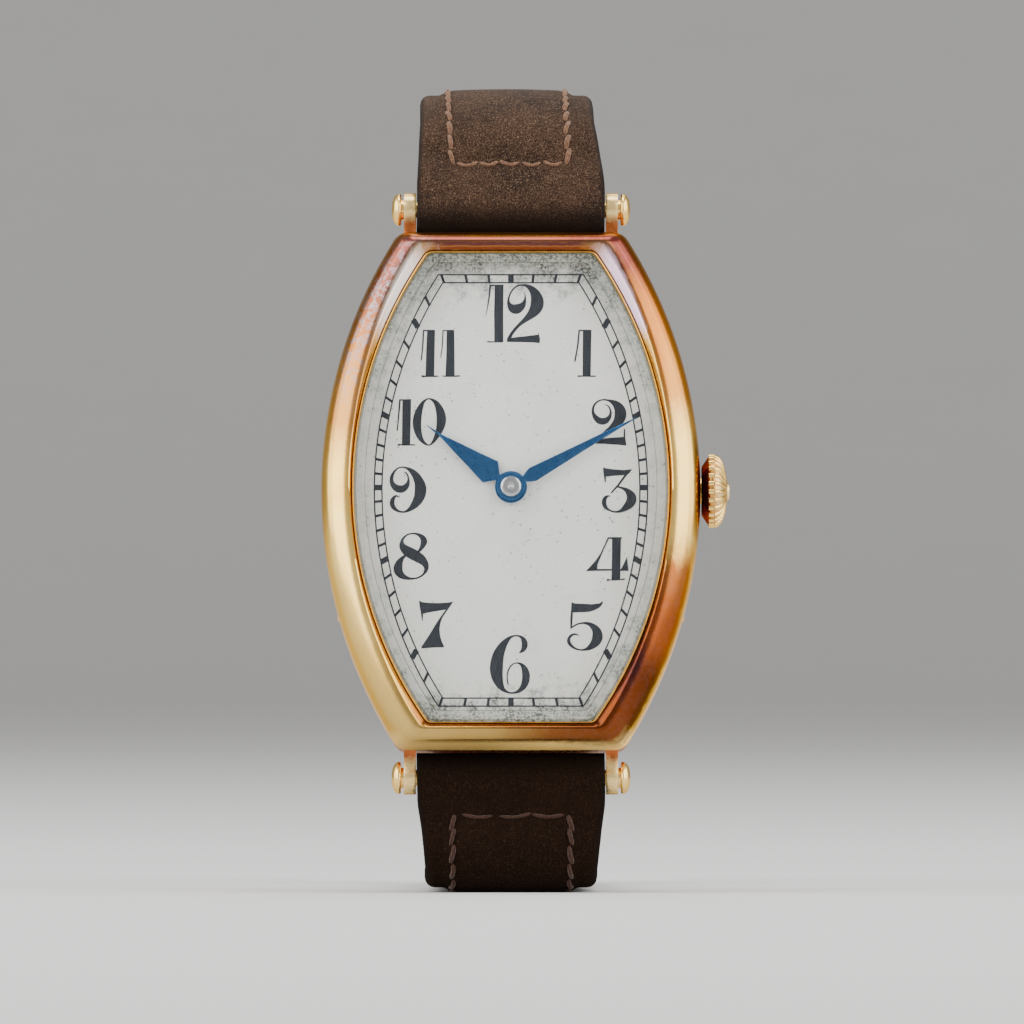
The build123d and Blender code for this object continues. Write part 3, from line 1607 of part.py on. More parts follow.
buckle_inner_half = drop_half + buckle_gap
buckle_outer_half = buckle_inner_half + buckle_side


def buckle_frame():
    low = buckle_height - buckle_reach
    outer = Pos(0, (buckle_height + low) / 2) * Rectangle(2 * buckle_outer_half, buckle_reach)
    bottom = outer.vertices().group_by(Axis.Y)[0]
    outer = fillet(bottom, buckle_corner)
    inner = Pos(0, (buckle_height + low + buckle_end) / 2 + 1) * Rectangle(
        2 * buckle_inner_half, buckle_reach - buckle_end + 2
    )
    bottom = inner.vertices().group_by(Axis.Y)[0]
    inner = fillet(bottom, buckle_corner * buckle_inner_share)
    frame = Pos(0, drop_y, 0) * extrude(Plane.XZ * (outer - inner), buckle_thick / 2, both=True)
    for side in (-1, 1):
        x_low, x_high = sorted((side * buckle_inner_half, side * buckle_outer_half))
        frame = frame + along_x(buckle_thick * buckle_ear_share, x_low, x_high, drop_y, buckle_height)
    reach = buckle_outer_half + 1
    return frame - along_x(buckle_bar_radius, -reach, reach, drop_y, buckle_height)


def buckle_bar():
    radius = buckle_bar_radius - press_gap / 2
    return along_x(radius, -buckle_outer_half, buckle_outer_half, drop_y, buckle_height)


def buckle_tongue():
    eye_radius = buckle_bar_radius + buckle_fit + tongue_thick * tongue_eye_share
    end_z = buckle_height - buckle_reach - tongue_overhang
    rest_y = drop_y + buckle_thick / 2 + tongue_rest_gap
    side = make_face(
        Polyline(
            (drop_y + 0.2, buckle_height - eye_radius * 0.6),
            (drop_y + eye_radius, buckle_height - 0.2),
            (rest_y + tongue_thick, buckle_height - buckle_reach + buckle_end),
            (rest_y + tongue_thick * 0.9, end_z),
            (rest_y, end_z),
            (rest_y, buckle_height - buckle_reach + buckle_end),
            close=True,
        )
    )
    eye = Pos(drop_y, buckle_height) * Circle(eye_radius)
    bore = Pos(drop_y, buckle_height) * Circle(buckle_bar_radius + buckle_fit)
    return across_x(side + eye - bore, tongue_width / 2)


def keeper(low, wall_gap):
    half = drop_half + keeper_side_gap + wall_gap
    y_in = drop_y - strap_thick / 2 - wall_gap
    y_out = drop_y + strap_thick / 2 + keeper_room
    inner = block(-half, half, y_in, y_out, low - 1, low + keeper_length + 1)
    outer = block(
        -half - keeper_wall, half + keeper_wall, y_in - keeper_wall, y_out + keeper_wall,
        low, low + keeper_length,
    )
    outer = fillet(outer.edges().filter_by(Axis.Z), keeper_wall * keeper_round_share)
    return outer - inner


fixed_keeper_low = buckle_height + fixed_keeper_rise
sliding_keeper_low = fixed_keeper_low + keeper_length + sliding_keeper_gap


def make_parts():
    os.makedirs("parts", exist_ok=True)
    head = {
        "bezel": bezel(),
        "crystal": crystal(),
        "middle_case": middle_case(),
        "case_back": case_back(),
        "case_back_screws": case_screws(),
        "crown_tube": crown_tube(),
        "upper_strap_bar": strap_bar(1),
        "lower_strap_bar": strap_bar(-1),
        "upper_bar_screw": bar_screw(1),
        "lower_bar_screw": bar_screw(-1),
        "dial": dial(),
        "hour_hand": hour_hand(),
        "minute_hand": minute_hand(),
        "casing_ring": casing_ring(),
        "movement_screws": movement_screws(),
        "main_plate": main_plate(),
        "barrel_bridge": barrel_bridge(),
        "train_bridge": train_bridge(),
        "balance_cock": balance_cock(),
        "pallet_cock": pallet_cock(),
        "bridge_screws": bridge_screws(),
        "jewels": jewels(),
        "barrel": barrel(),
        "barrel_cover": barrel_cover(),
        "barrel_arbor": barrel_arbor(),
        "mainspring": mainspring(),
        "center_wheel": center_wheel(),
        "third_wheel": third_wheel(),
        "fourth_wheel": fourth_wheel(),
        "escape_wheel": escape_wheel(),
        "pallet_fork": pallet_fork(),
        "balance_wheel": balance_wheel(),
        "hairspring": hairspring(),
        "cannon_pinion": cannon_pinion(),
        "minute_wheel": minute_wheel(),
        "hour_wheel": hour_wheel(),
        "setting_wheel": setting_wheel(),
        "ratchet_wheel": ratchet_wheel(),
        "crown_wheel": crown_wheel(),
        "ratchet_screw": winding_screws()[0],
        "crown_wheel_screw": winding_screws()[1],
        "click": click(),
        "winding_pinion": winding_pinion(),
        "sliding_pinion": sliding_pinion(),
        "winding_stem": winding_stem(),
        "crown": crown(),
        "setting_lever": setting_lever(),
        "yoke": yoke(),
        "setting_lever_spring": setting_lever_spring(),
    }
    for node, shape in head.items():
        save(placed(shape), node)
    straps = {
        "lower_strap": lower_strap(),
        "upper_strap": upper_strap(),
        "buckle_frame": buckle_frame(),
        "buckle_bar": buckle_bar(),
        "buckle_tongue": buckle_tongue(),
        "fixed_keeper": keeper(fixed_keeper_low, fixed_keeper_gap),
        "sliding_keeper": keeper(sliding_keeper_low, keeper_gap),
    }
    for node, shape in straps.items():
        save(shape, node)


make_parts()
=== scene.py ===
import json
import math
import random

import bmesh
import bpy
from mathutils import Matrix, Vector


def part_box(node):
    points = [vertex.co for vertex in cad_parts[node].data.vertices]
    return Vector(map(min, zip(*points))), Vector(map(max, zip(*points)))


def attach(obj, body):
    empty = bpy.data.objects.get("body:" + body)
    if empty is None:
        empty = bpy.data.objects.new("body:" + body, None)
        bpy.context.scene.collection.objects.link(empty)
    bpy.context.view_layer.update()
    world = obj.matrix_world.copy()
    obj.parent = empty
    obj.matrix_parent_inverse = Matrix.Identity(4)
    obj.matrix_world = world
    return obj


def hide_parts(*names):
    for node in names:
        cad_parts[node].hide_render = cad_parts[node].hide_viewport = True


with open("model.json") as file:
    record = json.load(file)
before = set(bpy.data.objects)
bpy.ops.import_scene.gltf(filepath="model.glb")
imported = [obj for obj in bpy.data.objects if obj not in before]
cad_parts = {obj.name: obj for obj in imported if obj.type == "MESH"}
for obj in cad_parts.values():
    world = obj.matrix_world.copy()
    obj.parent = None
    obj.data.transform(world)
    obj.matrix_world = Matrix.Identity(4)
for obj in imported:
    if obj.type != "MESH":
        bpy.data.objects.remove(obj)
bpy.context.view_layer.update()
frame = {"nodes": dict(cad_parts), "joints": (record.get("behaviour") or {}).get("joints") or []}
nodes = frame["nodes"]
print("frame loaded:", len(nodes), "nodes")

# The watch head has its own axes: x to 3 o'clock, y to 12 o'clock, z out of the dial, in mm.
handDepth = 1.18  # from the dial's back to the minute hand's joint
caseDrop = -0.2  # the case's middle lies this far below the hands
handJoint = next(joint for joint in frame["joints"] if joint["name"] == "minute_hand_turn")
outward = Vector(handJoint["axis"]).normalized()
headOrigin = Vector(handJoint["pos_m"]) - outward * handDepth * 0.001
headTurn = Matrix((Vector((1, 0, 0)), outward.cross(Vector((1, 0, 0))), outward)).transposed()
rowFrame = Matrix.Scale(0.001, 4)
headFrame = Matrix.Translation(headOrigin) @ headTurn.to_4x4() @ rowFrame


def addObject(name, data):
    item = bpy.data.objects.new(name, data)
    bpy.context.scene.collection.objects.link(item)
    return item


# Camera, at the photograph's angle: level, far away, with a long lens

cameraSet = {
    "distance": 2.2,
    "spanAcross": 0.0765,
    "sensor": 36.0,
    "place": (0.00008, -0.0203, 0.02841),
    "clip": (0.01, 20),
}


def makeCamera(values):
    data = bpy.data.cameras.new("camera")
    data.sensor_width = values["sensor"]
    data.lens = values["sensor"] * values["distance"] / values["spanAcross"]
    data.clip_start, data.clip_end = values["clip"]
    camera = addObject("camera", data)
    x, y, z = values["place"]
    camera.location = (x, y - values["distance"], z)
    camera.rotation_euler = (math.radians(90), 0, 0)
    bpy.context.scene.camera = camera


makeCamera(cameraSet)


# Shader helpers


def fill(socket, value):
    # Links a socket to another or gives it a value; a bare colour gets its alpha.
    if isinstance(value, bpy.types.NodeSocket):
        socket.id_data.links.new(value, socket)
    elif socket.type == "RGBA" and len(value) == 3:
        socket.default_value = (*value, 1.0)
    else:
        socket.default_value = value


def addNode(tree, kind, settings=None, inputs=None):
    node = tree.nodes.new(kind)
    for label, value in (settings or {}).items():
        setattr(node, label, value)
    for label, value in (inputs or {}).items():
        fill(node.inputs[label], value)
    return node


class Paint:
    # A material in the making, on coordinates in mm: each layer goes over the colour so far.
    def __init__(self, name, inputs, colour, inHead=True):
        self.material = bpy.data.materials.new(name)
        self.material.use_nodes = True
        self.tree = self.material.node_tree
        self.shader = self.tree.nodes["Principled BSDF"]
        self.colour = colour
        for label, value in inputs.items():
            fill(self.shader.inputs[label], value)
        mapping = {"Vector": self.add("TexCoord").outputs["Object"], "Scale": (1000, 1000, 1000)}
        if inHead:
            turnBack = headTurn.transposed()
            mapping.update(Rotation=turnBack.to_euler(), Location=turnBack @ headOrigin * -1000)
        self.place = self.add("Mapping", inputs=mapping).outputs[0]

    def add(self, kind, settings=None, inputs=None):
        return addNode(self.tree, "ShaderNode" + kind, settings, inputs)

    def stretch(self, scale, place=None):
        return self.add("Mapping", inputs={"Vector": place or self.place, "Scale": scale}).outputs[0]

    def noise(self, scale, detail, roughness, distortion=0.0, place=None):
        inputs = {"Vector": place or self.place, "Scale": scale, "Detail": detail}
        inputs.update(Roughness=roughness, Distortion=distortion)
        return self.add("TexNoise", inputs=inputs).outputs["Fac"]

    def remap(self, value, low, high, newLow=0.0, newHigh=1.0):
        inputs = {"Value": value, "From Min": low, "From Max": high, "To Min": newLow, "To Max": newHigh}
        return self.add("MapRange", {"clamp": True}, inputs).outputs["Result"]

    def math(self, operation, *values, clamp=True):
        settings = {"operation": operation, "use_clamp": clamp}
        return self.add("Math", settings, dict(enumerate(values))).outputs[0]

    def times(self, first, second):
        return self.math("MULTIPLY", first, second)

    def plus(self, first, second):
        return self.math("ADD", first, second)

    def layer(self, amount, tint):
        inputs = {0: amount, 6: self.colour, 7: tint}
        self.colour = self.add("Mix", {"data_type": "RGBA"}, inputs).outputs[2]

    def dots(self, scale, size, softness):
        # Round specks: 1 inside a speck, 0 between the specks.
        cell = self.add("TexVoronoi", inputs={"Vector": self.place, "Scale": scale, "Randomness": 1.0})
        return self.remap(cell.outputs["Distance"], size, size + softness, 1, 0)

    def near(self, centre, radius, ragged=None, spread=0.0):
        # 1 at a centre, falling to 0 at a radius, with an edge that noise can fray.
        distance = self.add("VectorMath", {"operation": "DISTANCE"}, {0: self.place, 1: centre}).outputs[1]
        if ragged:
            distance = self.math("MULTIPLY_ADD", ragged, spread, distance, clamp=False)
        return self.remap(distance, radius * 0.35, radius, 1, 0)

    def window(self, across, low, high, soft=0.05):
        # 1 between two shares of a band, 0 outside them.
        rise = self.remap(across, low - soft, low + soft) if low > 0 else 1.0
        return self.times(self.remap(across, high - soft, high + soft, 1, 0), rise)

    def mark(self, name):
        return self.add("Attribute", {"attribute_name": name}).outputs["Fac"]

    def axis(self, name):
        return self.add("SeparateXYZ", inputs={0: self.place}).outputs[name]

    def done(self, rough, bump=()):
        # Links it all up; bump is a height, a strength and a depth in metres.
        fill(self.shader.inputs["Base Color"], self.colour)
        fill(self.shader.inputs["Roughness"], rough)
        if bump:
            inputs = dict(zip(("Height", "Strength", "Distance"), bump))
            fill(self.shader.inputs["Normal"], self.add("Bump", inputs=inputs).outputs["Normal"])
        return self.material


# Materials

goldSet = {
    "paleGold": (0.99, 0.69, 0.21),
    "deepGold": (0.95, 0.57, 0.13),
    "innerGold": (0.92, 0.50, 0.09),
    # groove is the colour of the painted shade in the inner groove
    "groove": (0.24, 0.12, 0.04),
    "film": (0.30, 0.26, 0.28),
    "filmPlace": ((-11.2, 12.8, 2.6), 8.0),
    "grazing": (0.88, 0.64, 0.34),
    "roughness": 0.17,
    "wallHeights": (-18.2, -18.9),
    # Most patches are tarnish; the two pale ones at the upper corners are painted highlights on the inner
    # slope.
    "tarnishAndHighlightPatches": [  # centre in the head's mm, radius, colour, strength, and the share of the band it covers
        ((0.0, 18.8, 3.0), 11.5, (0.40, 0.17, 0.030), 0.94, 0.00, 0.38),
        ((0.0, 18.8, 3.0), 11.0, (0.24, 0.045, 0.035), 0.95, 0.32, 0.58),
        ((0.0, 18.6, 3.0), 10.0, (0.085, 0.014, 0.028), 0.96, 0.56, 0.76),
        ((0.0, 18.4, 3.0), 10.0, (0.17, 0.025, 0.008), 0.96, 0.74, 0.93),
        ((-9.6, 15.0, 2.6), 7.0, (0.27, 0.075, 0.060), 0.95, 0.00, 0.46),
        ((-9.8, 14.2, 3.0), 6.6, (0.12, 0.032, 0.045), 0.90, 0.42, 0.57),
        # painted highlight on the inner slope at the upper-left corner
        ((-9.3, 14.8, 3.0), 3.2, (1.00, 0.86, 0.80), 0.97, 0.58, 0.92),
        ((-12.6, 8.0, 2.6), 5.4, (0.50, 0.19, 0.05), 0.80, 0.10, 0.80),
        ((9.3, 16.0, 2.5), 6.0, (0.22, 0.045, 0.040), 0.96, 0.00, 0.46),
        ((9.9, 13.8, 3.0), 6.8, (0.10, 0.016, 0.012), 0.92, 0.42, 0.58),
        # painted highlight on the inner slope at the upper-right corner
        ((9.3, 14.8, 3.0), 3.0, (1.00, 0.72, 0.90), 0.97, 0.58, 0.92),
        ((11.9, 10.2, 2.5), 5.6, (0.58, 0.20, 0.035), 0.88, 0.00, 0.60),
        ((10.7, -14.2, 2.2), 7.8, (0.055, 0.007, 0.003), 0.98, 0.06, 0.93),
        ((10.0, -14.8, 3.0), 5.8, (0.022, 0.009, 0.024), 0.94, 0.46, 0.90),
        ((12.7, -9.4, 2.4), 4.2, (0.28, 0.065, 0.012), 0.90, 0.06, 0.80),
        ((4.2, -19.0, 2.4), 8.0, (0.16, 0.036, 0.008), 0.94, 0.20, 0.93),
        ((-6.0, -19.0, 2.4), 7.5, (0.46, 0.29, 0.08), 0.85, 0.00, 0.62),
        ((-3.8, -18.4, 2.6), 6.0, (0.30, 0.09, 0.02), 0.88, 0.66, 0.93),
        ((-11.6, -13.0, 2.4), 8.5, (0.62, 0.41, 0.12), 0.78, 0.00, 0.42),
        ((14.2, 0.0, 0.2), 3.2, (0.16, 0.035, 0.008), 0.95, 0.00, 0.15),
    ],
}


def bezelGoldMaterial(values):
    # Polished gold whose tarnish follows the band: coloured patches and a grey film, with two patches that
    # are painted highlights and a dark line of painted shade in the inner groove.
    p = Paint("bezelGold", {"Metallic": 1.0, "Specular Tint": values["grazing"]}, values["paleGold"])
    across = p.mark("across")
    streak = p.noise(1.5, 5, 0.65, 0.6, p.stretch((1.0, 0.45, 1.0)))
    fine = p.noise(7.0, 5, 0.7)
    p.layer(p.remap(p.noise(0.22, 4, 0.6), 0.40, 0.70), values["deepGold"])
    p.layer(p.remap(across, 0.56, 0.68), values["innerGold"])
    shifted = p.plus(across, p.remap(streak, 0.3, 0.7, -0.03, 0.03))
    for centre, radius, tint, strength, low, high in values["tarnishAndHighlightPatches"]:
        near = p.times(p.near(centre, radius, streak, -3.0), p.window(shifted, low, high))
        p.layer(p.times(near, strength), tint)
    # painted shade: a dark line laid in the inner groove next to the lip
    p.layer(p.window(across, 0.905, 0.945, 0.012), values["groove"])
    film = p.times(p.remap(p.noise(1.9, 4, 0.7, 0.8), 0.47, 0.53), p.remap(fine, 0.38, 0.52))
    filmed = p.times(p.near(*values["filmPlace"]), p.window(across, 0.0, 0.55))
    p.layer(p.times(film, p.plus(p.times(filmed, 0.9), 0.04)), values["film"])
    wall = p.times(p.window(across, 0.0, 0.18, 0.06), p.remap(p.axis("Y"), *values["wallHeights"]))
    fill(p.shader.inputs["Metallic"], p.remap(wall, 0, 1, 1.0, 0.35))
    polish = p.remap(fine, 0.35, 0.75, values["roughness"], values["roughness"] + 0.12)
    return p.done(p.plus(polish, p.times(wall, 0.4)), (p.noise(1.1, 3, 0.5), 0.10, 0.00005))


def plainGoldMaterial(name, pale, deep, scratches):
    p = Paint(name, {"Metallic": 1.0, "Specular Tint": goldSet["grazing"]}, pale, False)
    fine = p.noise(3.5, 5, 0.65, place=p.stretch((1, 1, 6)))
    p.layer(p.remap(p.noise(0.5, 4, 0.6), 0.35, 0.68), deep)
    p.layer(p.times(p.remap(fine, 0.55, 0.75), 0.35), deep)
    return p.done(p.remap(fine, 0.3, 0.75, 0.16, 0.30), (fine, scratches, 0.00004))


def tintedGoldMaterial(name, axis, stops, tints):
    # Pale gold that turns to other colours along one of the head's axes, taken without its sign.
    p = Paint(name, {"Metallic": 0.9, "Specular Tint": (0.55, 0.34, 0.15)}, tints[0])
    fine = p.noise(3.2, 5, 0.65)
    shift = p.math("MULTIPLY_ADD", fine, 0.8, p.math("ABSOLUTE", p.axis(axis), clamp=False), clamp=False)
    p.layer(p.remap(fine, 0.40, 0.70), [part * 0.8 for part in tints[0]])
    for (low, high), tint in zip(stops, tints[1:]):
        p.layer(p.remap(shift, low + 0.4, high + 0.4), tint)
    return p.done(p.remap(fine, 0.3, 0.75, 0.20, 0.36), (fine, 0.12, 0.00004))


dialSet = {
    "silver": (0.95, 0.955, 0.91),
    "shade": (0.60, 0.62, 0.585),
    "rimGrey": (0.085, 0.09, 0.08),
    "rimGreen": (0.62, 0.68, 0.65),
    "rimDark": (0.025, 0.028, 0.025),
    "speckColour": (0.15, 0.16, 0.14),
}


def silveredDialMaterial(values):
    # Silver that is clouded, specked and mouldy near its rim, most of all at both ends.
    p = Paint("silveredDial", {"Metallic": 0.25, "Specular IOR Level": 0.45}, values["silver"])
    height = p.axis("Y")
    cloud, grain = p.noise(0.16, 3, 0.5), p.noise(4.5, 4, 0.7)
    for amount in (
        p.remap(height, 11, -15, 0, 0.4), p.remap(cloud, 0.45, 0.75, 0, 0.35),
        p.remap(grain, 0.52, 0.8, 0, 0.35), p.remap(p.noise(0.75, 4, 0.65), 0.60, 0.74, 0, 0.45),
    ):
        p.layer(amount, values["shade"])
    specks = p.times(p.dots(2.0, 0.10, 0.10), p.remap(grain, 0.42, 0.52))
    specks = p.times(specks, p.remap(cloud, 0.38, 0.60, 0.25, 1.0))
    p.layer(p.times(specks, 0.8), values["speckColour"])
    ragged = p.plus(p.mark("rim"), p.remap(p.noise(0.9, 4, 0.65), 0.3, 0.7, -0.10, 0.10))
    p.layer(p.remap(ragged, 0.78, 0.92, 0, 0.6), values["rimGreen"])
    ends = p.remap(p.math("ABSOLUTE", height, clamp=False), 4, 14.5, 0.15, 1.0)
    mould = p.plus(p.remap(p.noise(4.6, 5, 0.8), 0.44, 0.56), 0.12)
    p.layer(p.times(p.times(p.remap(ragged, 0.82, 0.97), ends), mould), values["rimGrey"])
    spots = p.times(p.dots(2.6, 0.12, 0.16), p.remap(ragged, 0.82, 0.94))
    p.layer(p.times(p.times(spots, p.remap(grain, 0.40, 0.52)), 0.85), values["rimDark"])
    return p.done(p.remap(grain, 0.3, 0.7, 0.38, 0.55), (grain, 0.12, 0.00003))


def inkMaterial():
    p = Paint("dialInk", {"Specular IOR Level": 0.55}, (0.006, 0.009, 0.015))
    grain = p.noise(1.3, 4, 0.6, place=p.stretch((5, 1, 1)))
    p.layer(p.remap(grain, 0.4, 0.75, 0, 0.7), (0.022, 0.030, 0.044))
    p.layer(p.remap(p.axis("Y"), 6, 14, 0, 0.12), (0.06, 0.07, 0.09))
    return p.done(p.remap(grain, 0.3, 0.7, 0.32, 0.5))


def metalMaterial(name, colour, darker, roughness, grainScale, bump, grainStretch=(1, 1, 1)):
    p = Paint(name, {"Metallic": 1.0}, colour, False)
    grain = p.noise(grainScale, 4, 0.6, place=p.stretch(grainStretch))
    p.layer(p.remap(grain, 0.35, 0.7), darker)
    p.layer(p.remap(p.noise(0.35, 3, 0.5), 0.5, 0.8, 0, 0.4), darker)
    return p.done(p.remap(grain, 0.3, 0.7, roughness, roughness + 0.12), (grain, bump, 0.00003))


def stripedGiltMaterial():
    # Gilt bridges with broad ground stripes across them.
    p = Paint("stripedGilt", {"Metallic": 1.0}, (0.86, 0.62, 0.28))
    turned = p.add("Mapping", inputs={"Vector": p.place, "Rotation": (0, 0, 0.6)}).outputs[0]
    waves = p.add("TexWave", {"wave_profile": "SAW"}, {"Vector": turned, "Scale": 0.22}).outputs["Fac"]
    grain = p.noise(3.0, 4, 0.6, place=p.stretch((1, 8, 1), turned))
    p.layer(waves, (0.72, 0.47, 0.17))
    p.layer(p.remap(grain, 0.4, 0.75, 0, 0.4), (0.58, 0.36, 0.13))
    return p.done(p.remap(grain, 0.3, 0.7, 0.26, 0.42), (waves, 0.25, 0.00004))


def jewelMaterial():
    p = Paint("rubyJewel", {"Specular IOR Level": 0.8}, (0.42, 0.01, 0.05), False)
    p.layer(p.remap(p.noise(2.2, 3, 0.5), 0.35, 0.65), (0.62, 0.05, 0.12))
    return p.done(0.08)


leatherSet = {
    "brown": (0.042, 0.0215, 0.0122),
    "darkBrown": (0.013, 0.0072, 0.0047),
    "reddish": (0.040, 0.0155, 0.0078),
    "fleck": (0.28, 0.185, 0.118),
    "edge": (0.006, 0.004, 0.003),
    # the colour of the painted shade over the lower strap
    "paintedShadeBrown": (0.0066, 0.0029, 0.0015),
}


def leatherMaterial(name, values, paintedShade):
    # Worn suede: clouded browns, pale specks, a dull nap and darker edges; its last argument lays painted
    # shade over it all, and the edge mark also paints shade near the bar.
    sheen = {"Sheen Weight": 0.03 * (1 - paintedShade), "Sheen Roughness": 0.6}
    sheen["Specular IOR Level"] = 0.08 - 0.06 * paintedShade
    p = Paint(name, sheen, values["brown"], False)
    nap, grit = p.noise(3.0, 6, 0.75), p.noise(10.5, 3, 0.8)
    p.layer(p.remap(p.noise(0.28, 5, 0.62, 0.4), 0.38, 0.66), values["darkBrown"])
    p.layer(p.remap(nap, 0.42, 0.7, 0, 0.55), values["reddish"])
    # painted shade: the whole leather darkened, for the strap that lies in shadow
    if paintedShade:
        p.layer(paintedShade, values["paintedShadeBrown"])
    flecks = p.times(p.remap(grit, 0.52, 0.64), p.remap(nap, 0.34, 0.54))
    p.layer(p.times(flecks, 0.52 - 0.48 * paintedShade), values["fleck"])
    p.layer(p.remap(grit, 0.48, 0.38, 0, 0.8), values["edge"])
    # the edge mark darkens the leather's sides and, on the straps, paints the shade on the roll round the bar
    p.layer(p.times(p.mark("edge"), 0.9), values["edge"])
    height = p.plus(p.times(nap, 0.7), p.times(grit, 0.3))
    return p.done(p.remap(nap, 0.3, 0.7, 0.76, 0.97), (height, 0.7, 0.00014))


def threadMaterial(name, light, dark):
    p = Paint(name, {"Sheen Weight": 0.15, "Specular IOR Level": 0.2}, light, False)
    twist = p.add("TexWave", inputs={"Vector": p.place, "Scale": 2.6, "Distortion": 2.0})
    p.layer(p.remap(p.noise(7.0, 4, 0.7), 0.35, 0.7), dark)
    return p.done(0.85, (twist.outputs["Fac"], 0.5, 0.00006))


def glassMaterial(name, colour, alpha, roughness, ripple):
    p = Paint(name, {"IOR": 1.5, "Alpha": alpha, "Specular IOR Level": 0.28}, colour)
    haze = p.noise(0.8, 3, 0.5)
    p.layer(p.remap(haze, 0.3, 0.7), [part * 0.8 for part in colour])
    p.material.surface_render_method = "BLENDED"
    rough = p.remap(haze, 0.3, 0.7, roughness, roughness + 0.04)
    return p.done(rough, (p.noise(1.5, 2, 0.5), ripple, 0.00005))


bezelGold = bezelGoldMaterial(goldSet)
caseGold = plainGoldMaterial("caseGold", (0.96, 0.64, 0.21), (0.90, 0.54, 0.15), 0.18)
paleGold = plainGoldMaterial("paleGold", (0.98, 0.69, 0.24), (0.93, 0.60, 0.18), 0.12)
lugTints = [(0.95, 0.68, 0.28), (0.40, 0.11, 0.03), (0.94, 0.62, 0.20)]
lugGold = tintedGoldMaterial("lugGold", "Y", [(20.8, 20.0), (19.0, 17.5)], lugTints)
crownTints = [(1.0, 0.78, 0.38), (0.62, 0.32, 0.09), (0.26, 0.05, 0.015)]
crownGold = tintedGoldMaterial("crownGold", "X", [(15.7, 15.2), (14.95, 14.75)], crownTints)
silveredDial = silveredDialMaterial(dialSet)
dialInk = inkMaterial()
bluedSteel = metalMaterial("bluedSteel", (0.062, 0.20, 0.44), (0.03, 0.11, 0.28), 0.18, 2.0, 0.05)
steelColours = ((0.62, 0.63, 0.65), (0.48, 0.49, 0.51))
polishedSteel = metalMaterial("polishedSteel", *steelColours, 0.16, 4.0, 0.1, (1, 6, 1))
frostedGilt = metalMaterial("frostedGilt", (0.84, 0.60, 0.27), (0.70, 0.46, 0.18), 0.34, 7.0, 0.35)
wheelBrass = metalMaterial("wheelBrass", (0.80, 0.60, 0.26), (0.66, 0.45, 0.17), 0.24, 5.0, 0.15)
stripedGilt = stripedGiltMaterial()
rubyJewel = jewelMaterial()
strapLeather = leatherMaterial("strapLeather", leatherSet, 0.0)
# painted shade: a darker copy of the strap leather for the lower strap, which lies in shadow
shadedLowerLeather = leatherMaterial("shadedLowerLeather", leatherSet, 0.90)
upperThread = threadMaterial("upperThread", (0.225, 0.115, 0.062), (0.055, 0.026, 0.016))
# painted shade: the lower strap's thread, darker than the upper thread because that strap lies in shadow
shadedLowerThread = threadMaterial("shadedLowerThread", (0.048, 0.018, 0.009), (0.016, 0.006, 0.0035))
crystalGlass = glassMaterial("crystalGlass", (0.05, 0.06, 0.06), 0.05, 0.03, 0.02)
crystalEdge = glassMaterial("crystalEdge", (0.42, 0.50, 0.47), 0.13, 0.10, 0.3)
crystalLine = glassMaterial("crystalLine", (0.090, 0.090, 0.055), 0.55, 0.12, 0.2)
print("materials ready")

nodeFinishes = {
    caseGold: ["middle_case", "case_back", "case_back_screws", "crown_tube", "buckle_bar"],
    bluedSteel: ["bridge_screws", "movement_screws", "hairspring"],
    stripedGilt: ["barrel_bridge", "train_bridge"],
    frostedGilt: ["main_plate", "balance_cock", "pallet_cock", "casing_ring"],
    wheelBrass: [
        "barrel", "barrel_cover", "center_wheel", "third_wheel", "fourth_wheel", "minute_wheel",
        "hour_wheel", "balance_wheel",
    ],
    polishedSteel: [
        "escape_wheel", "pallet_fork", "cannon_pinion", "setting_wheel", "ratchet_wheel", "crown_wheel",
        "click", "winding_pinion", "sliding_pinion", "winding_stem", "setting_lever", "yoke",
        "setting_lever_spring", "ratchet_screw", "crown_wheel_screw", "barrel_arbor", "mainspring",
    ],
    rubyJewel: ["jewels"],
}
for finish, members in nodeFinishes.items():
    for member in members:
        slots = nodes[member].data.materials
        slots.clear()
        slots.append(finish)
print("CAD nodes finished")


# Mesh helpers: a shape is its points in mm and its faces


def finishMesh(mesh, sharpAngle=35, turn=True):
    work = bmesh.new()
    work.from_mesh(mesh)
    bmesh.ops.remove_doubles(work, verts=work.verts, dist=1e-7)
    if turn:
        bmesh.ops.recalc_face_normals(work, faces=work.faces)
    work.to_mesh(mesh)
    work.free()
    mesh.shade_smooth()
    mesh.set_sharp_from_angle(angle=math.radians(sharpAngle))


def meshFrom(name, shape, place, materials=(), sharpAngle=35, faceSlots=None, marks=None):
    # marks names a value and gives it for every point.
    mesh = bpy.data.meshes.new(name)
    mesh.from_pydata([tuple(v) for v in shape[0]], [], shape[1])
    for material in materials:
        mesh.materials.append(material)
    if faceSlots:
        mesh.polygons.foreach_set("material_index", faceSlots)
    if marks:
        mesh.attributes.new(marks[0], "FLOAT", "POINT").data.foreach_set("value", marks[1])
    mesh.transform(place)
    finishMesh(mesh, sharpAngle)
    return mesh


def addPiece(name, mesh, body, slot, node):
    piece = addObject(name, mesh)
    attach(piece, body)
    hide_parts(node)


def modified(mesh, kind, settings, inputs=None):
    # Runs one modifier on a mesh and returns the plain mesh that comes out.
    holder = addObject("holder", mesh)
    change = holder.modifiers.new("change", kind)
    for label, value in settings.items():
        setattr(change, label, value)
    for label, value in (inputs or {}).items():
        change[label] = value
    shape = holder.evaluated_get(bpy.context.evaluated_depsgraph_get())
    result = bpy.data.meshes.new_from_object(shape)
    bpy.data.objects.remove(holder)
    return result


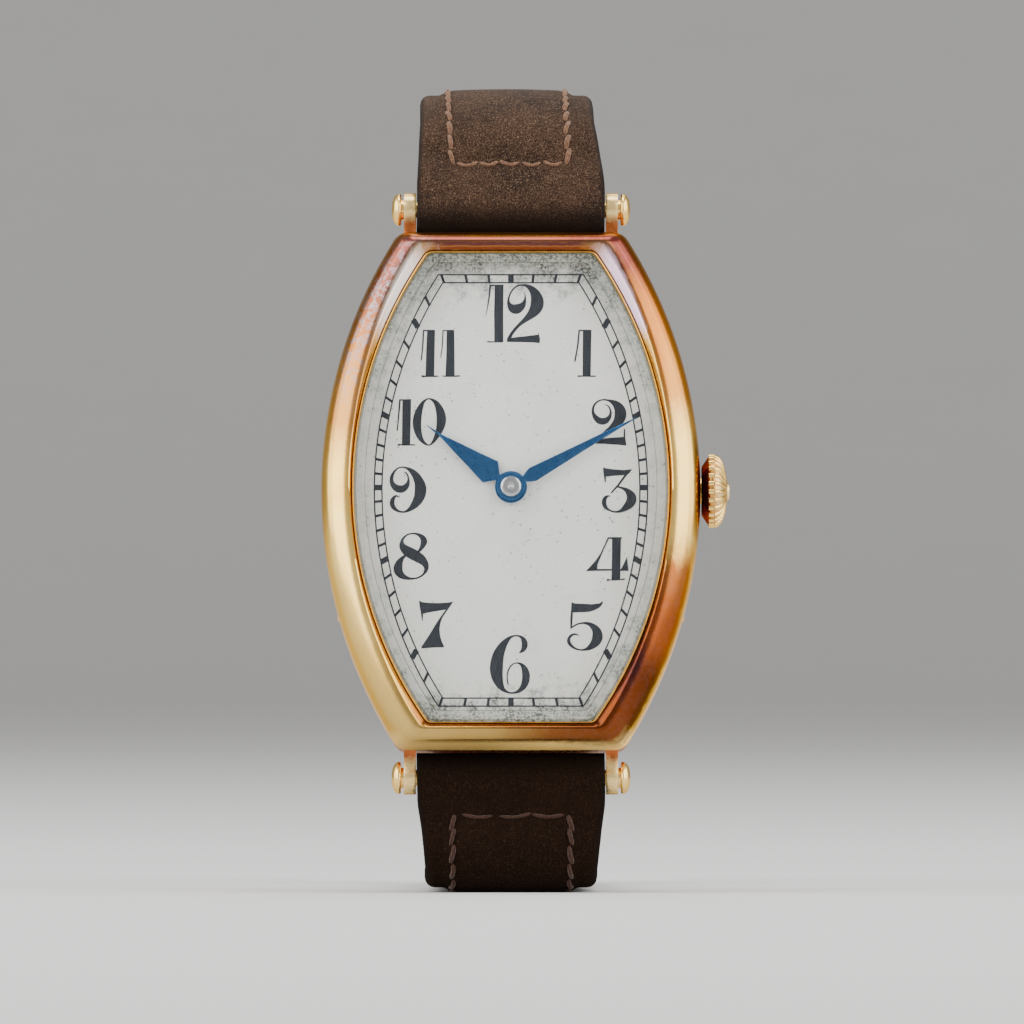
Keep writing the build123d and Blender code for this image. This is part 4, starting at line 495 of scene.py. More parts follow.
def softened(node, width):
    # A copy of a CAD node's mesh with its doubles merged and its edges rounded, width in mm.
    mesh = nodes[node].data.copy()
    work = bmesh.new()
    work.from_mesh(mesh)
    bmesh.ops.remove_doubles(work, verts=work.verts, dist=1e-6)
    bmesh.ops.dissolve_limit(work, angle_limit=math.radians(1), verts=work.verts, edges=work.edges)
    work.to_mesh(mesh)
    work.free()
    settings = {"width": width * 0.001, "segments": 2, "limit_method": "ANGLE"}
    result = modified(mesh, "BEVEL", {**settings, "angle_limit": math.radians(30)})
    finishMesh(result, 40, False)
    return result


def barrelPath(halfWidth, halfHeight, endHalf, corner, counts=(72, 8, 20)):
    # The barrel outline: arc sides, straight ends, rounded corners, counter-clockwise.
    bow = halfWidth - endHalf
    radius = (halfHeight**2 + bow**2) / (2 * bow)
    middle = halfWidth - radius
    cornerX = middle + math.sqrt((radius - corner) ** 2 - (halfHeight - corner) ** 2)
    cornerY = halfHeight - corner
    lean = math.atan2(cornerY, cornerX - middle)
    sideCount, cornerCount, endCount = counts

    def rounded(x, start):
        angles = [start + (math.pi / 2 - lean) * step / cornerCount for step in range(cornerCount)]
        return [(x + corner * math.cos(angle), cornerY + corner * math.sin(angle)) for angle in angles]

    angles = [lean * (2 * step / sideCount - 1) for step in range(sideCount)]
    points = [(middle + radius * math.cos(angle), radius * math.sin(angle)) for angle in angles]
    points += rounded(cornerX, lean)
    points += [(cornerX * (1 - 2 * step / endCount), halfHeight) for step in range(endCount)]
    points += rounded(-cornerX, math.pi / 2)
    return [(side * x, side * y + caseDrop) for side in (1, -1) for x, y in points]


def level(outline, height):
    return [(x, y, height) for x, y in outline]


def ringLoft(rows, closed=True, around=True, caps=False):
    # Faces between rows of points; around says that each row is a closed loop.
    verts = [point for row in rows for point in row]
    count = len(rows[0])
    faces = []
    for row in range(len(rows) if closed else len(rows) - 1):
        low, high = row * count, (row + 1) % len(rows) * count
        for step in range(count if around else count - 1):
            after = (step + 1) % count
            faces.append((low + step, low + after, high + after, high + step))
    if caps:
        faces += [tuple(reversed(range(count))), tuple(range(len(verts) - count, len(verts)))]
    return verts, faces


def lathe(profile, stand, count):
    # Profile of radius and height, turned round the z axis of a frame; radius 0 closes a pole.
    turns = [2 * math.pi * step / count for step in range(count)]
    rows = [
        [stand @ Vector((radius * math.cos(turn), radius * math.sin(turn), height)) for turn in turns]
        for radius, height in profile
    ]
    return ringLoft(rows, closed=profile[0] == profile[-1])


def joined(shapes):
    verts, faces = [], []
    for moreVerts, moreFaces in shapes:
        faces += [tuple(index + len(verts) for index in face) for face in moreFaces]
        verts += moreVerts
    return verts, faces


def makePiece(name, shape, finish, owner, place=headFrame, sharpAngle=35, marks=None):
    # owner is the piece's body, slot and CAD node; the slot is not used.
    addPiece(name, meshFrom(name, shape, place, [finish], sharpAngle, marks=marks), *owner)


def easeStep(value):
    value = min(max(value, 0.0), 1.0)
    return value * value * (3 - 2 * value)


def betweenStops(stops, place):
    # Straight-line value between (place, value) stops.
    for (low, first), (high, second) in zip(stops, stops[1:]):
        if place <= high:
            return first + (second - first) * min(max((place - low) / (high - low), 0), 1)
    return stops[-1][1]


# Bezel: a bombe ring with a soft ridge and a thin bright inner lip

bezelSet = {
    "outer": (14.17, 19.4, 8.4, 1.3),
    "opening": (11.7, 17.6, 6.1, 0.7),
    "cavity": (12.82, 18.05, 7.725, 0.625),
    "section": [  # how far inward, height above the dial's back
        (0.0, -0.72), (0.0, -0.35), (0.004, 0.05), (0.014, 0.48), (0.033, 0.92), (0.062, 1.36), (0.10, 1.78),
        (0.148, 2.14), (0.205, 2.44), (0.27, 2.68), (0.34, 2.87), (0.41, 3.01), (0.48, 3.11), (0.545, 3.16),
        (0.61, 3.16), (0.675, 3.12), (0.74, 3.05), (0.80, 2.97), (0.855, 2.89), (0.895, 2.84), (0.915, 2.80),
        (0.927, 2.77), (0.94, 2.80), (0.955, 2.84), (0.975, 2.84), (0.992, 2.80), (1.0, 2.72), (1.0, 2.40),
    ],
    "lip": 2.40,
    "foot": -0.8,
    "ridge": 0.58,
    "innerEnd": 0.915,
    "ridgeStops": [
        (-16.5, 0.72), (-12, 0.80), (-5, 0.85), (5, 0.84), (9, 0.76), (13, 0.66), (16.5, 0.58), (30, 0.58),
    ],
}


def ridgedShare(values, share, y):
    # Where a section place lies once the ridge has moved towards the opening.
    old, end = values["ridge"], values["innerEnd"]
    new = betweenStops(values["ridgeStops"], y)
    if share >= end:
        return share
    if share > old:
        return new + (end - new) * (share - old) / (end - old)
    return share + (new - old) * easeStep(share / old) * share / old


def makeBezel(values):
    outer, opening = barrelPath(*values["outer"]), barrelPath(*values["opening"])
    rows = []
    for inward, height in values["section"]:
        row = []
        for (x1, y1), (x2, y2) in zip(outer, opening):
            share = ridgedShare(values, inward, y2)
            row.append((x1 + (x2 - x1) * share, y1 + (y2 - y1) * share, height))
        rows.append(row)
    cavity, low = barrelPath(*values["cavity"]), values["foot"]
    foot = barrelPath(*(size - 0.05 for size in values["outer"]))
    rows += [level(cavity, values["lip"]), level(cavity, low), level(foot, low)]
    across = [inward for inward, _ in values["section"]] + [1.0, 1.0, 0.0]
    marks = ("across", [value for value in across for _ in outer])
    owner = ("case", "case_gold", "bezel")
    makePiece("bezelRing", ringLoft(rows), bezelGold, owner, sharpAngle=50, marks=marks)


makeBezel(bezelSet)


# Crystal: a clear face with a greyer bevelled edge

crystalSet = {
    "flange": (12.79, 18.02, 7.71, 0.61),
    "opening": (11.67, 17.57, 6.085, 0.7),
    "bevel": 0.80,
    "chamfer": (0.14, 0.14, 0.08),
    "corners": (0.66, 0.5),  # of the chamfer and of the face
    "line": 0.06,
    "levels": (1.9, 2.40, 2.98, 3.22),
    "domeRise": 0.12,
    "rings": 8,
}


def makeCrystal(values):
    low, shoulder, wall, top = values["levels"]
    face, cut, rise = values["opening"], values["bevel"], values["domeRise"]
    chamferCorner, faceCorner = values["corners"]
    inner = (face[0] - cut, face[1] - cut, face[2] - cut * 0.55, faceCorner)
    flange, opening, base = barrelPath(*values["flange"]), barrelPath(*face), barrelPath(*inner)
    chamfer = barrelPath(*(size - less for size, less in zip(face, values["chamfer"])), chamferCorner)
    line = barrelPath(*(size + values["line"] for size in inner))
    rows = [level(flange, low), level(flange, shoulder), level(opening, shoulder), level(opening, wall)]
    rows += [level(chamfer, wall + 0.03), level(line, top - 0.01), level(base, top)]
    count, edgeRows = len(base), len(rows) - 1
    for ring in range(1, values["rings"] + 1):
        share = 1 - ring / (values["rings"] + 1)
        inward = [(x * share, (y - caseDrop) * share + caseDrop) for x, y in base]
        rows.append(level(inward, top + rise * (1 - share**2)))
    verts, faces = ringLoft(rows, closed=False)
    rest = len(faces) - (edgeRows - 1) * count + 1
    faceSlots = [2] * (4 * count) + [1] * count + [2] * count + [0] * rest
    centre, lastRow = len(verts), len(verts) - count
    verts.append((0, caseDrop, top + rise))
    faces += [(lastRow + step, lastRow + (step + 1) % count, centre) for step in range(count)]
    faces.append(tuple(reversed(range(count))))
    materials = [crystalGlass, crystalEdge, crystalLine]
    mesh = meshFrom("crystalFace", (verts, faces), headFrame, materials, 25, faceSlots)
    addPiece("crystalFace", mesh, "case", "crystal", "crystal")


makeCrystal(crystalSet)
print("bezel and crystal ready")


# Dial: plate, minute track and numerals

dialOwner = ("case", "silvered_dial", "dial")
dialPlateSet = {
    "outline": (12.72, 17.95, 7.675, 0.575),
    "holeRadius": 1.15,
    "thick": 0.4,
    "rings": 26,
    "edgeRound": 0.04,
    "feet": (9.6, 128, 0.35, 0.9),
}


def makeDialPlate(values):
    outline, rings = barrelPath(*values["outline"]), values["rings"]
    radius, thick, edge = values["holeRadius"], values["thick"], values["edgeRound"]
    angles = [math.atan2(y, x) for x, y in outline]
    hole = [(radius * math.cos(angle), radius * math.sin(angle)) for angle in angles]
    rim = [(ring / rings) ** 0.6 for ring in range(rings + 1)]
    rows = []
    for ring, share in enumerate(rim):
        keep = 1 - edge / 18 if ring == rings else 1
        rows.append([
            ((a + (c - a) * share) * keep, (b + (d - b) * share) * keep, thick)
            for (a, b), (c, d) in zip(hole, outline)
        ])
    rows += [level(outline, thick - edge), level(outline, 0), level(hole, 0)]
    shapes = [ringLoft(rows)]
    reach, degrees, radius, length = values["feet"]
    foot = [(0, 0.1), (radius, 0.1), (radius, -length + 0.06), (radius - 0.06, -length), (0, -length)]
    for angle in (math.radians(degrees), math.radians(degrees + 180)):
        place = Matrix.Translation((reach * math.cos(angle), reach * math.sin(angle), 0))
        shapes.append(lathe(foot, place, 20))
    shape = joined(shapes)
    marks = [value for value in rim + [1, 1, 1] for _ in outline]
    marks += [0.5] * (len(shape[0]) - len(marks))
    makePiece("dialPlate", shape, silveredDial, dialOwner, marks=("rim", marks))


makeDialPlate(dialPlateSet)

trackSet = {
    "outer": (10.2, 16.2, 5.42, 0.06),
    "inner": (9.63, 15.6, 5.08, 0.06),
    "counts": (64, 2, 16),
    "lineWidth": 0.10,
    "height": 0.018,
    "barWidth": 0.20,
    "hourBarWidth": 0.42,
    "wander": 0.015,
    "seed": 4,
}


def solidRibbon(left, right, low, high, closed):
    # A flat printed line with a little thickness, between its two edges.
    rows = [level(left, high), level(right, high), level(right, low), level(left, low)]
    verts, faces = ringLoft(rows, around=closed)
    if not closed:
        count = len(left)
        faces.append((0, count, 2 * count, 3 * count))
        faces.append((count - 1, 4 * count - 1, 3 * count - 1, 2 * count - 1))
    return verts, faces


def crossing(path, angle):
    # Where a ray from the hands' centre meets a closed outline.
    rayX, rayY = math.cos(angle), math.sin(angle)
    for (x1, y1), (x2, y2) in zip(path, path[1:] + path[:1]):
        dx, dy = x2 - x1, y2 - y1
        cross = rayX * dy - rayY * dx
        if abs(cross) > 1e-12:
            along = (x1 * dy - y1 * dx) / cross
            if along > 0 and 0 <= (x1 * rayY - y1 * rayX) / cross <= 1:
                return Vector((rayX * along, rayY * along, 0))


def newTree(name, numbers):
    # An empty Geometry Nodes tree with named inputs, and those inputs.
    tree = bpy.data.node_groups.new(name, "GeometryNodeTree")
    sockets = [("Points", "Geometry"), ("Wander", "Float"), ("Seed", "Int"), ("Material", "Material")]
    for label, kind in sockets + [(number, "Float") for number in numbers]:
        tree.interface.new_socket(label, in_out="INPUT", socket_type="NodeSocket" + kind)
    tree.interface.new_socket("Geometry", in_out="OUTPUT", socket_type="NodeSocketGeometry")
    return tree, tree.nodes.new("NodeGroupInput").outputs


def grow(tree, kind, inputs=None, settings=None, out=0):
    return addNode(tree, "GeometryNode" + kind, settings, inputs).outputs[out]


def turning(tree, kind, inputs, settings=None, out=0):
    return addNode(tree, "FunctionNode" + kind, settings, inputs).outputs[out]


def scaled(tree, value, factor):
    return addNode(tree, "ShaderNodeMath", {"operation": "MULTIPLY"}, {0: value, 1: factor}).outputs[0]


def spot(tree, **axes):
    return addNode(tree, "ShaderNodeCombineXYZ", inputs=axes).outputs[0]


def tube(tree, curve, sides, radius, **more):
    ring = grow(tree, "CurvePrimitiveCircle", {"Resolution": sides, "Radius": radius})
    return grow(tree, "CurveToMesh", {"Curve": curve, "Profile Curve": ring, "Fill Caps": True, **more})


def stampedTree(tree, out, stamp):
    # Puts a stamp on every point, turned to the point's own axes and sized by its size.
    up, along, size = (
        grow(tree, "InputNamedAttribute", {"Name": label}, {"data_type": "FLOAT_VECTOR"})
        for label in ("outward", "along", "size")
    )
    turn = turning(
        tree, "AxesToRotation", {"Primary Axis": up, "Secondary Axis": along},
        {"primary_axis": "Z", "secondary_axis": "X"},
    )
    limits = {2: scaled(tree, out["Wander"], -1.0), 3: out["Wander"], "Seed": out["Seed"]}
    wander = turning(tree, "RandomValue", limits, {"data_type": "FLOAT"}, 1)
    swing = turning(tree, "EulerToRotation", {"Euler": spot(tree, Z=wander)})
    inputs = {"Rotation": turn, "Rotate By": swing}
    turn = turning(tree, "RotateRotation", inputs, {"rotation_space": "LOCAL"})
    copies = {"Points": out["Points"], "Instance": stamp, "Rotation": turn, "Scale": size}
    real = grow(tree, "RealizeInstances", {0: grow(tree, "InstanceOnPoints", copies)})
    painted = grow(tree, "SetMaterial", {"Geometry": real, "Material": out["Material"]})
    tree.links.new(painted, tree.nodes.new("NodeGroupOutput").inputs[0])
    return tree


def barTree():
    tree, out = newTree("printedBars", ["Thickness"])
    size = spot(tree, X=1.0, Y=1.0, Z=out["Thickness"])
    return stampedTree(tree, out, grow(tree, "MeshCube", {"Size": size}))


def stitchTree():
    # One stitch: a thread that rises out of one hole and goes down into the next.
    tree, out = newTree("sewnStitches", ["Length", "Thickness", "Rise"])
    half, sink = scaled(tree, out["Length"], 0.5), scaled(tree, out["Thickness"], -0.8)
    bow = grow(tree, "CurveQuadraticBezier", {
        "Resolution": 6, "Start": spot(tree, X=scaled(tree, half, -1.0), Z=sink),
        "Middle": spot(tree, Z=out["Rise"]), "End": spot(tree, X=half, Z=sink),
    })
    return stampedTree(tree, out, tube(tree, bow, 6, scaled(tree, out["Thickness"], 0.5)))


def ribTree():
    # One crown rib: a rounded bar that follows the crown's side and dome, thinner at the middle.
    names = ["Side start", "Side end", "Side radius", "Bend along", "Bend radius", "Dome end", "Dome radius"]
    tree, out = newTree("crownRibs", names + ["Rib radius"])
    start, end, bend, dome = (
        spot(tree, X=out[along], Z=out[high]) for along, high in (
            ("Side start", "Side radius"), ("Side end", "Side radius"), ("Bend along", "Bend radius"),
            ("Dome end", "Dome radius"),
        )
    )
    line = grow(tree, "CurvePrimitiveLine", {"Start": start, "End": end})
    bow = grow(tree, "CurveQuadraticBezier", {"Resolution": 10, "Start": end, "Middle": bend, "End": dome})
    thin = {"Value": grow(tree, "SplineParameter"), "To Min": 1.0, "To Max": 0.35}
    thin = addNode(tree, "ShaderNodeMapRange", inputs=thin).outputs[0]
    both = addNode(tree, "GeometryNodeJoinGeometry")
    for curve in (grow(tree, "SetCurveRadius", {0: bow, "Radius": thin}), line):
        tree.links.new(curve, both.inputs[0])
    rib = tube(tree, both.outputs[0], 8, out["Rib radius"], Scale=grow(tree, "InputRadius"))
    return stampedTree(tree, out, rib)


def grownMesh(name, tree, points, values, place, sharpAngle=40):
    # Runs a tree over points given as (place, outward, along, size) and returns the plain mesh.
    mesh = bpy.data.meshes.new(name)
    mesh.from_pydata([tuple(point[0]) for point in points], [], [])
    labels = ("outward", "along", "size")
    for index, label in enumerate(labels, 1):
        layer = mesh.attributes.new(label, "FLOAT_VECTOR", "POINT")
        layer.data.foreach_set("vector", [part for point in points for part in point[index]])
    sockets = [item for item in tree.interface.items_tree if item.in_out == "INPUT"]
    inputs = {item.identifier: values[item.name] for item in sockets if item.name in values}
    result = modified(mesh, "NODES", {"node_group": tree}, inputs)
    result.transform(place)
    for label in labels:
        if label in result.attributes:
            result.attributes.remove(result.attributes[label])
    finishMesh(result, sharpAngle, False)
    return result


def makeTrack(values):
    top, height, half = dialPlateSet["thick"], values["height"], values["lineWidth"] / 2
    rings = []
    for label in ("outer", "inner"):
        width, tall, end, corner = values[label]
        edges = [
            barrelPath(width + side, tall + side, end + side / 2, corner, values["counts"])
            for side in (half, -half)
        ]
        rings.append(solidRibbon(*edges, top, top + height, True))
    makePiece("trackLines", joined(rings), dialInk, dialOwner)
    outer, inner = barrelPath(*values["outer"]), barrelPath(*values["inner"])
    points = []
    for minute in range(60):
        angle = math.radians(90 - 6 * minute)
        near, far = crossing(inner, angle), crossing(outer, angle)
        width = values["barWidth"] if minute % 5 else values["hourBarWidth"]
        middle = (near + far) / 2 + Vector((0, 0, top + height * 0.45))
        points.append((middle, (0, 0, 1), far - near, ((far - near).length, width, 1)))
    inputs = {"Wander": values["wander"], "Seed": values["seed"], "Thickness": height * 0.9}
    inputs["Material"] = dialInk
    addPiece("trackBars", grownMesh("trackBars", barTree(), points, inputs, headFrame), *dialOwner)


makeTrack(trackSet)

# Numerals: left, foot and height in mm, and strokes in thousandths of the height.
# Pen lines carry a width at each point, areas don't.
numeralStrokes = {
    "one12": (-1.91, 10.85, 4.42, [
        [(159, 990), (306, 990), (302, 522), (302, 14), (152, 14), (148, 522)],
        [(72, 993), (309, 997), (309, 972), (77, 968)],
        [(68, 990), (100, 986), (77, 792), (43, 599), (7, 452), (3, 458), (30, 618), (51, 792)],
        [(30, 37), (152, 31), (300, 31), (300, 13), (34, 13)],
    ]),
    "two12": (-1.91, 10.85, 4.42, [
        [(662, 870, 8), (673, 802, 21), (667, 725, 46), (638, 657, 97), (580, 604, 145), (517, 582, 170),
         (454, 599, 145), (406, 657, 77), (389, 720, 39), (401, 792, 29), (435, 870, 27), (493, 942, 27),
         (575, 986, 27), (652, 987, 35), (720, 966, 68), (792, 908, 121), (845, 831, 172), (876, 734, 214),
         (870, 638, 220), (826, 551, 189), (758, 473, 135), (671, 396, 85), (575, 314, 56), (498, 232, 52),
         (435, 145, 56), (396, 63, 62)],
        [(362, 21), (367, 92), (440, 92), (594, 111), (758, 128), (886, 145), (900, 182), (907, 145),
         (925, 68), (915, 0), (807, 12), (594, 19)],
    ]),
    "1": (4.73, 8.32, 3.54, [
        [(183, 989), (362, 989), (354, 508), (347, 28), (177, 28), (179, 508)],
        [(91, 1001), (365, 999), (365, 972), (97, 970)],
        [(88, 992), (122, 986), (91, 663), (55, 464), (27, 320), (-2, 327), (24, 475), (57, 663)],
        [(66, 31), (99, 33), (254, 29), (453, 27), (460, 11), (442, 0), (254, 2), (110, 2), (80, -2),
         (66, 9)],
    ]),
    "2": (6.02, 3.15, 3.50, [
        [(282, 878, 12), (332, 868, 23), (378, 822, 31), (405, 745, 40), (401, 659, 62), (365, 591, 96),
         (303, 538, 133), (221, 522, 146), (139, 553, 133), (72, 625, 100), (32, 716, 60), (36, 812, 48),
         (74, 894, 42), (144, 955, 35), (231, 984, 29), (322, 980, 35), (409, 955, 69), (495, 909, 135),
         (570, 832, 202), (612, 736, 246), (612, 630, 252), (570, 524, 217), (495, 438, 165),
         (399, 356, 115), (303, 284, 88), (207, 197, 73), (130, 101, 58), (106, 51, 50)],
        [(91, 41), (120, 82), (274, 157), (409, 170), (683, 188), (689, 365), (716, 362), (720, 178),
         (747, -1), (562, 18), (274, 38)],
    ]),
    "3": (6.79, -1.90, 3.45, [
        [(24, 998), (80, 975), (250, 949), (476, 934), (654, 953), (613, 882), (538, 819), (420, 817),
         (231, 804), (92, 789), (86, 662), (65, 662), (44, 802), (29, 896)],
        [(495, 840), (618, 915), (542, 816), (371, 590), (242, 453), (212, 426), (188, 436), (222, 483),
         (337, 613)],
        [(325, 574, 32), (392, 555, 43), (467, 530, 62), (538, 489, 104), (599, 426, 158), (637, 354, 204),
         (639, 278, 215), (604, 203, 200), (542, 137, 162), (462, 74, 106), (387, 36, 62), (311, 23, 42),
         (236, 31, 36), (170, 58, 43), (116, 89, 62), (71, 143, 89), (48, 217, 100), (54, 283, 92),
         (85, 338, 70), (137, 366, 36), (193, 363, 6)],
    ]),
    "4": (5.59, -6.97, 3.26, [
        [(602, 995), (808, 990), (800, 633), (790, 15), (587, 15), (597, 510)],
        [(502, 994), (684, 998), (839, 994), (839, 980), (806, 949), (520, 957)],
        [(502, 992), (533, 967), (418, 724), (337, 531), (271, 367), (263, 263), (602, 263), (602, 224),
         (204, 220), (-2, 214), (67, 281), (204, 434), (324, 600), (418, 796)],
        [(945, 553), (959, 388), (980, 220), (786, 218), (786, 247), (816, 276), (853, 347), (900, 449)],
        [(484, 33), (522, 37), (546, 24), (689, 20), (786, 29), (886, 49), (896, 37), (886, 14), (786, 8),
         (689, -2), (546, 0), (492, -18), (480, 2)],
    ]),
    "5": (4.20, -12.25, 3.71, [
        [(88, 984), (161, 959), (295, 954), (500, 941), (652, 961), (711, 1002), (725, 982), (688, 912),
         (634, 862), (545, 818), (446, 788), (312, 780), (98, 773)],
        [(86, 982), (120, 955), (116, 777), (100, 496), (64, 433), (62, 670), (77, 812)],
        [(64, 441, 9), (125, 493, 30), (205, 538, 30), (295, 559, 34), (375, 559, 54), (455, 536, 80),
         (520, 489, 120), (576, 424, 166), (605, 348, 198), (607, 268, 211), (573, 183, 189),
         (511, 112, 145), (433, 55, 93), (353, 25, 48), (277, 18, 32), (205, 30, 36), (141, 58, 46),
         (84, 101, 59), (41, 159, 71), (29, 219, 66), (52, 277, 55), (100, 321, 46), (154, 336, 38),
         (204, 323, 25), (239, 304, 7)],
    ]),
    "6": (-1.57, -15.48, 4.42, [
        [(487, 692, 3), (543, 729, 56), (577, 782, 91), (588, 842, 101), (577, 902, 87), (543, 951, 58),
         (496, 979, 34), (444, 988, 26), (389, 979, 32), (333, 951, 53), (282, 902, 89), (231, 838, 125),
         (184, 756, 159), (145, 662, 190), (120, 551, 210), (110, 432, 221), (117, 321, 202),
         (139, 226, 168), (174, 145, 125), (218, 81, 79), (274, 40, 46), (329, 20, 32), (385, 15, 29),
         (444, 26, 41), (504, 60, 68), (558, 115, 99), (594, 188, 121), (609, 261, 128), (608, 338, 128),
         (587, 415, 106), (551, 476, 70), (504, 514, 38), (453, 524, 21), (402, 512, 19), (355, 473, 21),
         (321, 421, 22), (299, 359, 22), (291, 286, 19), (297, 218, 22), (310, 151, 22)],
    ]),
    "7": (-6.86, -12.06, 3.58, [
        [(-3, 1002), (69, 965), (206, 951), (436, 947), (592, 957), (716, 979), (665, 902), (601, 812),
         (546, 807), (344, 775), (197, 748), (85, 725), (76, 575), (61, 577), (39, 729), (14, 876)],
        [(560, 814), (612, 830), (477, 624), (440, 500), (427, 399), (440, 261), (474, 142), (526, 32),
         (509, 17), (307, 16), (69, -3), (43, 21), (225, 298), (362, 528), (463, 679)],
    ]),
    "8": (-8.74, -6.90, 3.51, [
        [(527, 599, 53), (580, 666, 81), (619, 739, 117), (640, 814, 140), (615, 885, 119), (555, 941, 81),
         (482, 974, 50), (403, 984, 32), (314, 969, 32), (243, 927, 35), (190, 865, 51), (171, 792, 85),
         (183, 717, 142), (235, 649, 191), (305, 596, 223), (394, 544, 235), (491, 491, 225),
         (584, 427, 198), (655, 351, 152), (688, 270, 112), (681, 197, 80), (638, 123, 48), (575, 70, 37),
         (491, 31, 35), (403, 19, 41), (314, 24, 65), (226, 52, 104), (148, 104, 152), (98, 177, 184),
         (91, 261, 188), (112, 345, 156), (150, 416, 110), (195, 469, 74), (243, 511, 53)],
    ]),
    "9": (-9.06, -1.90, 3.48, [
        [(303, 888, 7), (345, 867, 27), (382, 819, 32), (402, 748, 39), (400, 668, 67), (372, 597, 108),
         (310, 535, 142), (235, 513, 163), (150, 534, 150), (80, 597, 120), (44, 677, 88), (46, 765, 78),
         (73, 847, 58), (126, 920, 39), (195, 971, 30), (270, 988, 27), (341, 976, 39), (416, 942, 74),
         (491, 885, 120), (558, 810, 161), (609, 721, 193), (646, 633, 223), (664, 535, 251),
         (658, 429, 248), (633, 336, 228), (584, 243, 196), (524, 165, 156), (453, 95, 106), (382, 47, 64),
         (312, 20, 41), (239, 24, 42), (175, 46, 55), (115, 86, 80), (69, 146, 99), (53, 217, 104),
         (66, 286, 90), (102, 339, 62), (142, 367, 39), (186, 351, 23), (219, 327, 7)],
    ]),
    "one10": (-8.53, 3.15, 3.57, [
        [(121, 976), (301, 976), (292, 493), (280, 5), (108, 5), (114, 493)],
        [(50, 976), (305, 980), (305, 951), (54, 947)],
        [(50, 971), (85, 966), (60, 686), (35, 435), (21, 309), (-6, 313), (10, 444), (31, 705)],
        [(23, 33), (53, 39), (108, 29), (280, 31), (388, 29), (388, 6), (280, 2), (126, 0), (87, 10),
         (39, -8), (23, 5)],
    ]),
    "zero10": (-8.53, 3.15, 3.57, [
        [(652, 986, 29), (744, 964, 54), (829, 891, 108), (894, 763, 162), (928, 628, 195), (931, 493, 195),
         (900, 348, 158), (836, 203, 106), (768, 87, 64), (686, 13, 29), (594, 43, 54), (507, 140, 102),
         (451, 275, 147), (427, 406, 172), (427, 541, 178), (451, 676, 158), (495, 802, 118),
         (560, 920, 64)],
    ]),
    "first11": (-6.75, 8.32, 3.54, [
        [(141, 998), (305, 993), (298, 604), (287, 5), (104, 5), (118, 514)],
        [(51, 998), (284, 998), (305, 982), (302, 968), (55, 968)],
        [(50, 993), (78, 989), (66, 730), (50, 550), (26, 347), (1, 351), (24, 559), (37, 766)],
        [(23, 41), (54, 32), (104, 27), (287, 27), (329, 31), (371, 20), (365, 0), (287, -2), (104, -2),
         (33, -14), (21, 5)],
    ]),
    "second11": (-6.75, 8.32, 3.54, [
        [(552, 996), (709, 993), (716, 604), (718, 5), (525, 5), (545, 514)],
        [(460, 996), (680, 998), (702, 984), (702, 969), (464, 973)],
        [(464, 991), (484, 986), (475, 730), (460, 550), (437, 459), (435, 396), (423, 396), (419, 459),
         (442, 568), (451, 748)],
        [(455, 36), (491, 25), (527, 25), (718, 27), (824, 38), (832, 23), (821, 4), (718, 0), (482, 0),
         (464, 18)],
    ]),
}


def smoothLine(points, closed, steps=5):
    # A soft curve through points of any size, by Catmull and Rom's rule.
    count, result = len(points), []
    for index in range(count if closed else count - 1):
        spots = [index + shift for shift in (-1, 0, 1, 2)]
        around = [points[spot % count if closed else min(max(spot, 0), count - 1)] for spot in spots]
        for t in (step / steps for step in range(steps)):
            result.append(tuple(
                0.5 * (2 * b + (c - a) * t + (2 * a - 5 * b + 4 * c - d) * t**2
                       + (3 * b - a - 3 * c + d) * t**3)
                for a, b, c, d in zip(*around)
            ))
    return result if closed else result + [tuple(points[-1])]


def brushStroke(points, low, high, closed):
    # A pen line whose points carry their own width.
    line = smoothLine(points, closed)
    last = len(line) - 1
    left, right = [], []
    for index, (x, y, width) in enumerate(line):
        if closed:
            before, after = line[index - 1], line[(index + 1) % (last + 1)]
        else:
            before, after = line[max(index - 1, 0)], line[min(index + 1, last)]
        dx, dy = after[0] - before[0], after[1] - before[1]
        length = math.hypot(dx, dy) or 1
        aside, up = -dy / length * width / 2, dx / length * width / 2
        left.append((x + aside, y + up))
        right.append((x - aside, y - up))
    return solidRibbon(left, right, low, high, closed)


def printedShape(points, low, high):
    # A straight-edged printed area with a little thickness.
    count = len(points)
    faces = [tuple(range(count)), tuple(reversed(range(count, 2 * count)))]
    for step in range(count):
        after = (step + 1) % count
        faces.append((step, step + count, after + count, after))
    return level(points, high) + level(points, low), faces


def makeNumerals(figures, height):
    base, shapes = dialPlateSet["thick"], []
    for name, (left, foot, high, strokes) in figures.items():
        scale = high / 1000
        for number, stroke in enumerate(strokes):
            top = base + height * (1 + 0.12 * number)
            points = [
                (x * scale + left, y * scale + foot, *(part * scale for part in pen))
                for x, y, *pen in stroke
            ]
            if len(stroke[0]) == 3:
                shapes.append(brushStroke(points, base, top, name == "zero10"))
            else:
                shapes.append(printedShape(points, base, top))
    makePiece("dialNumerals", joined(shapes), dialInk, dialOwner)


makeNumerals(numeralStrokes, 0.022)
print("dial ready")


# Hands: plan is half the width along the blade, drop how far its far end bends down

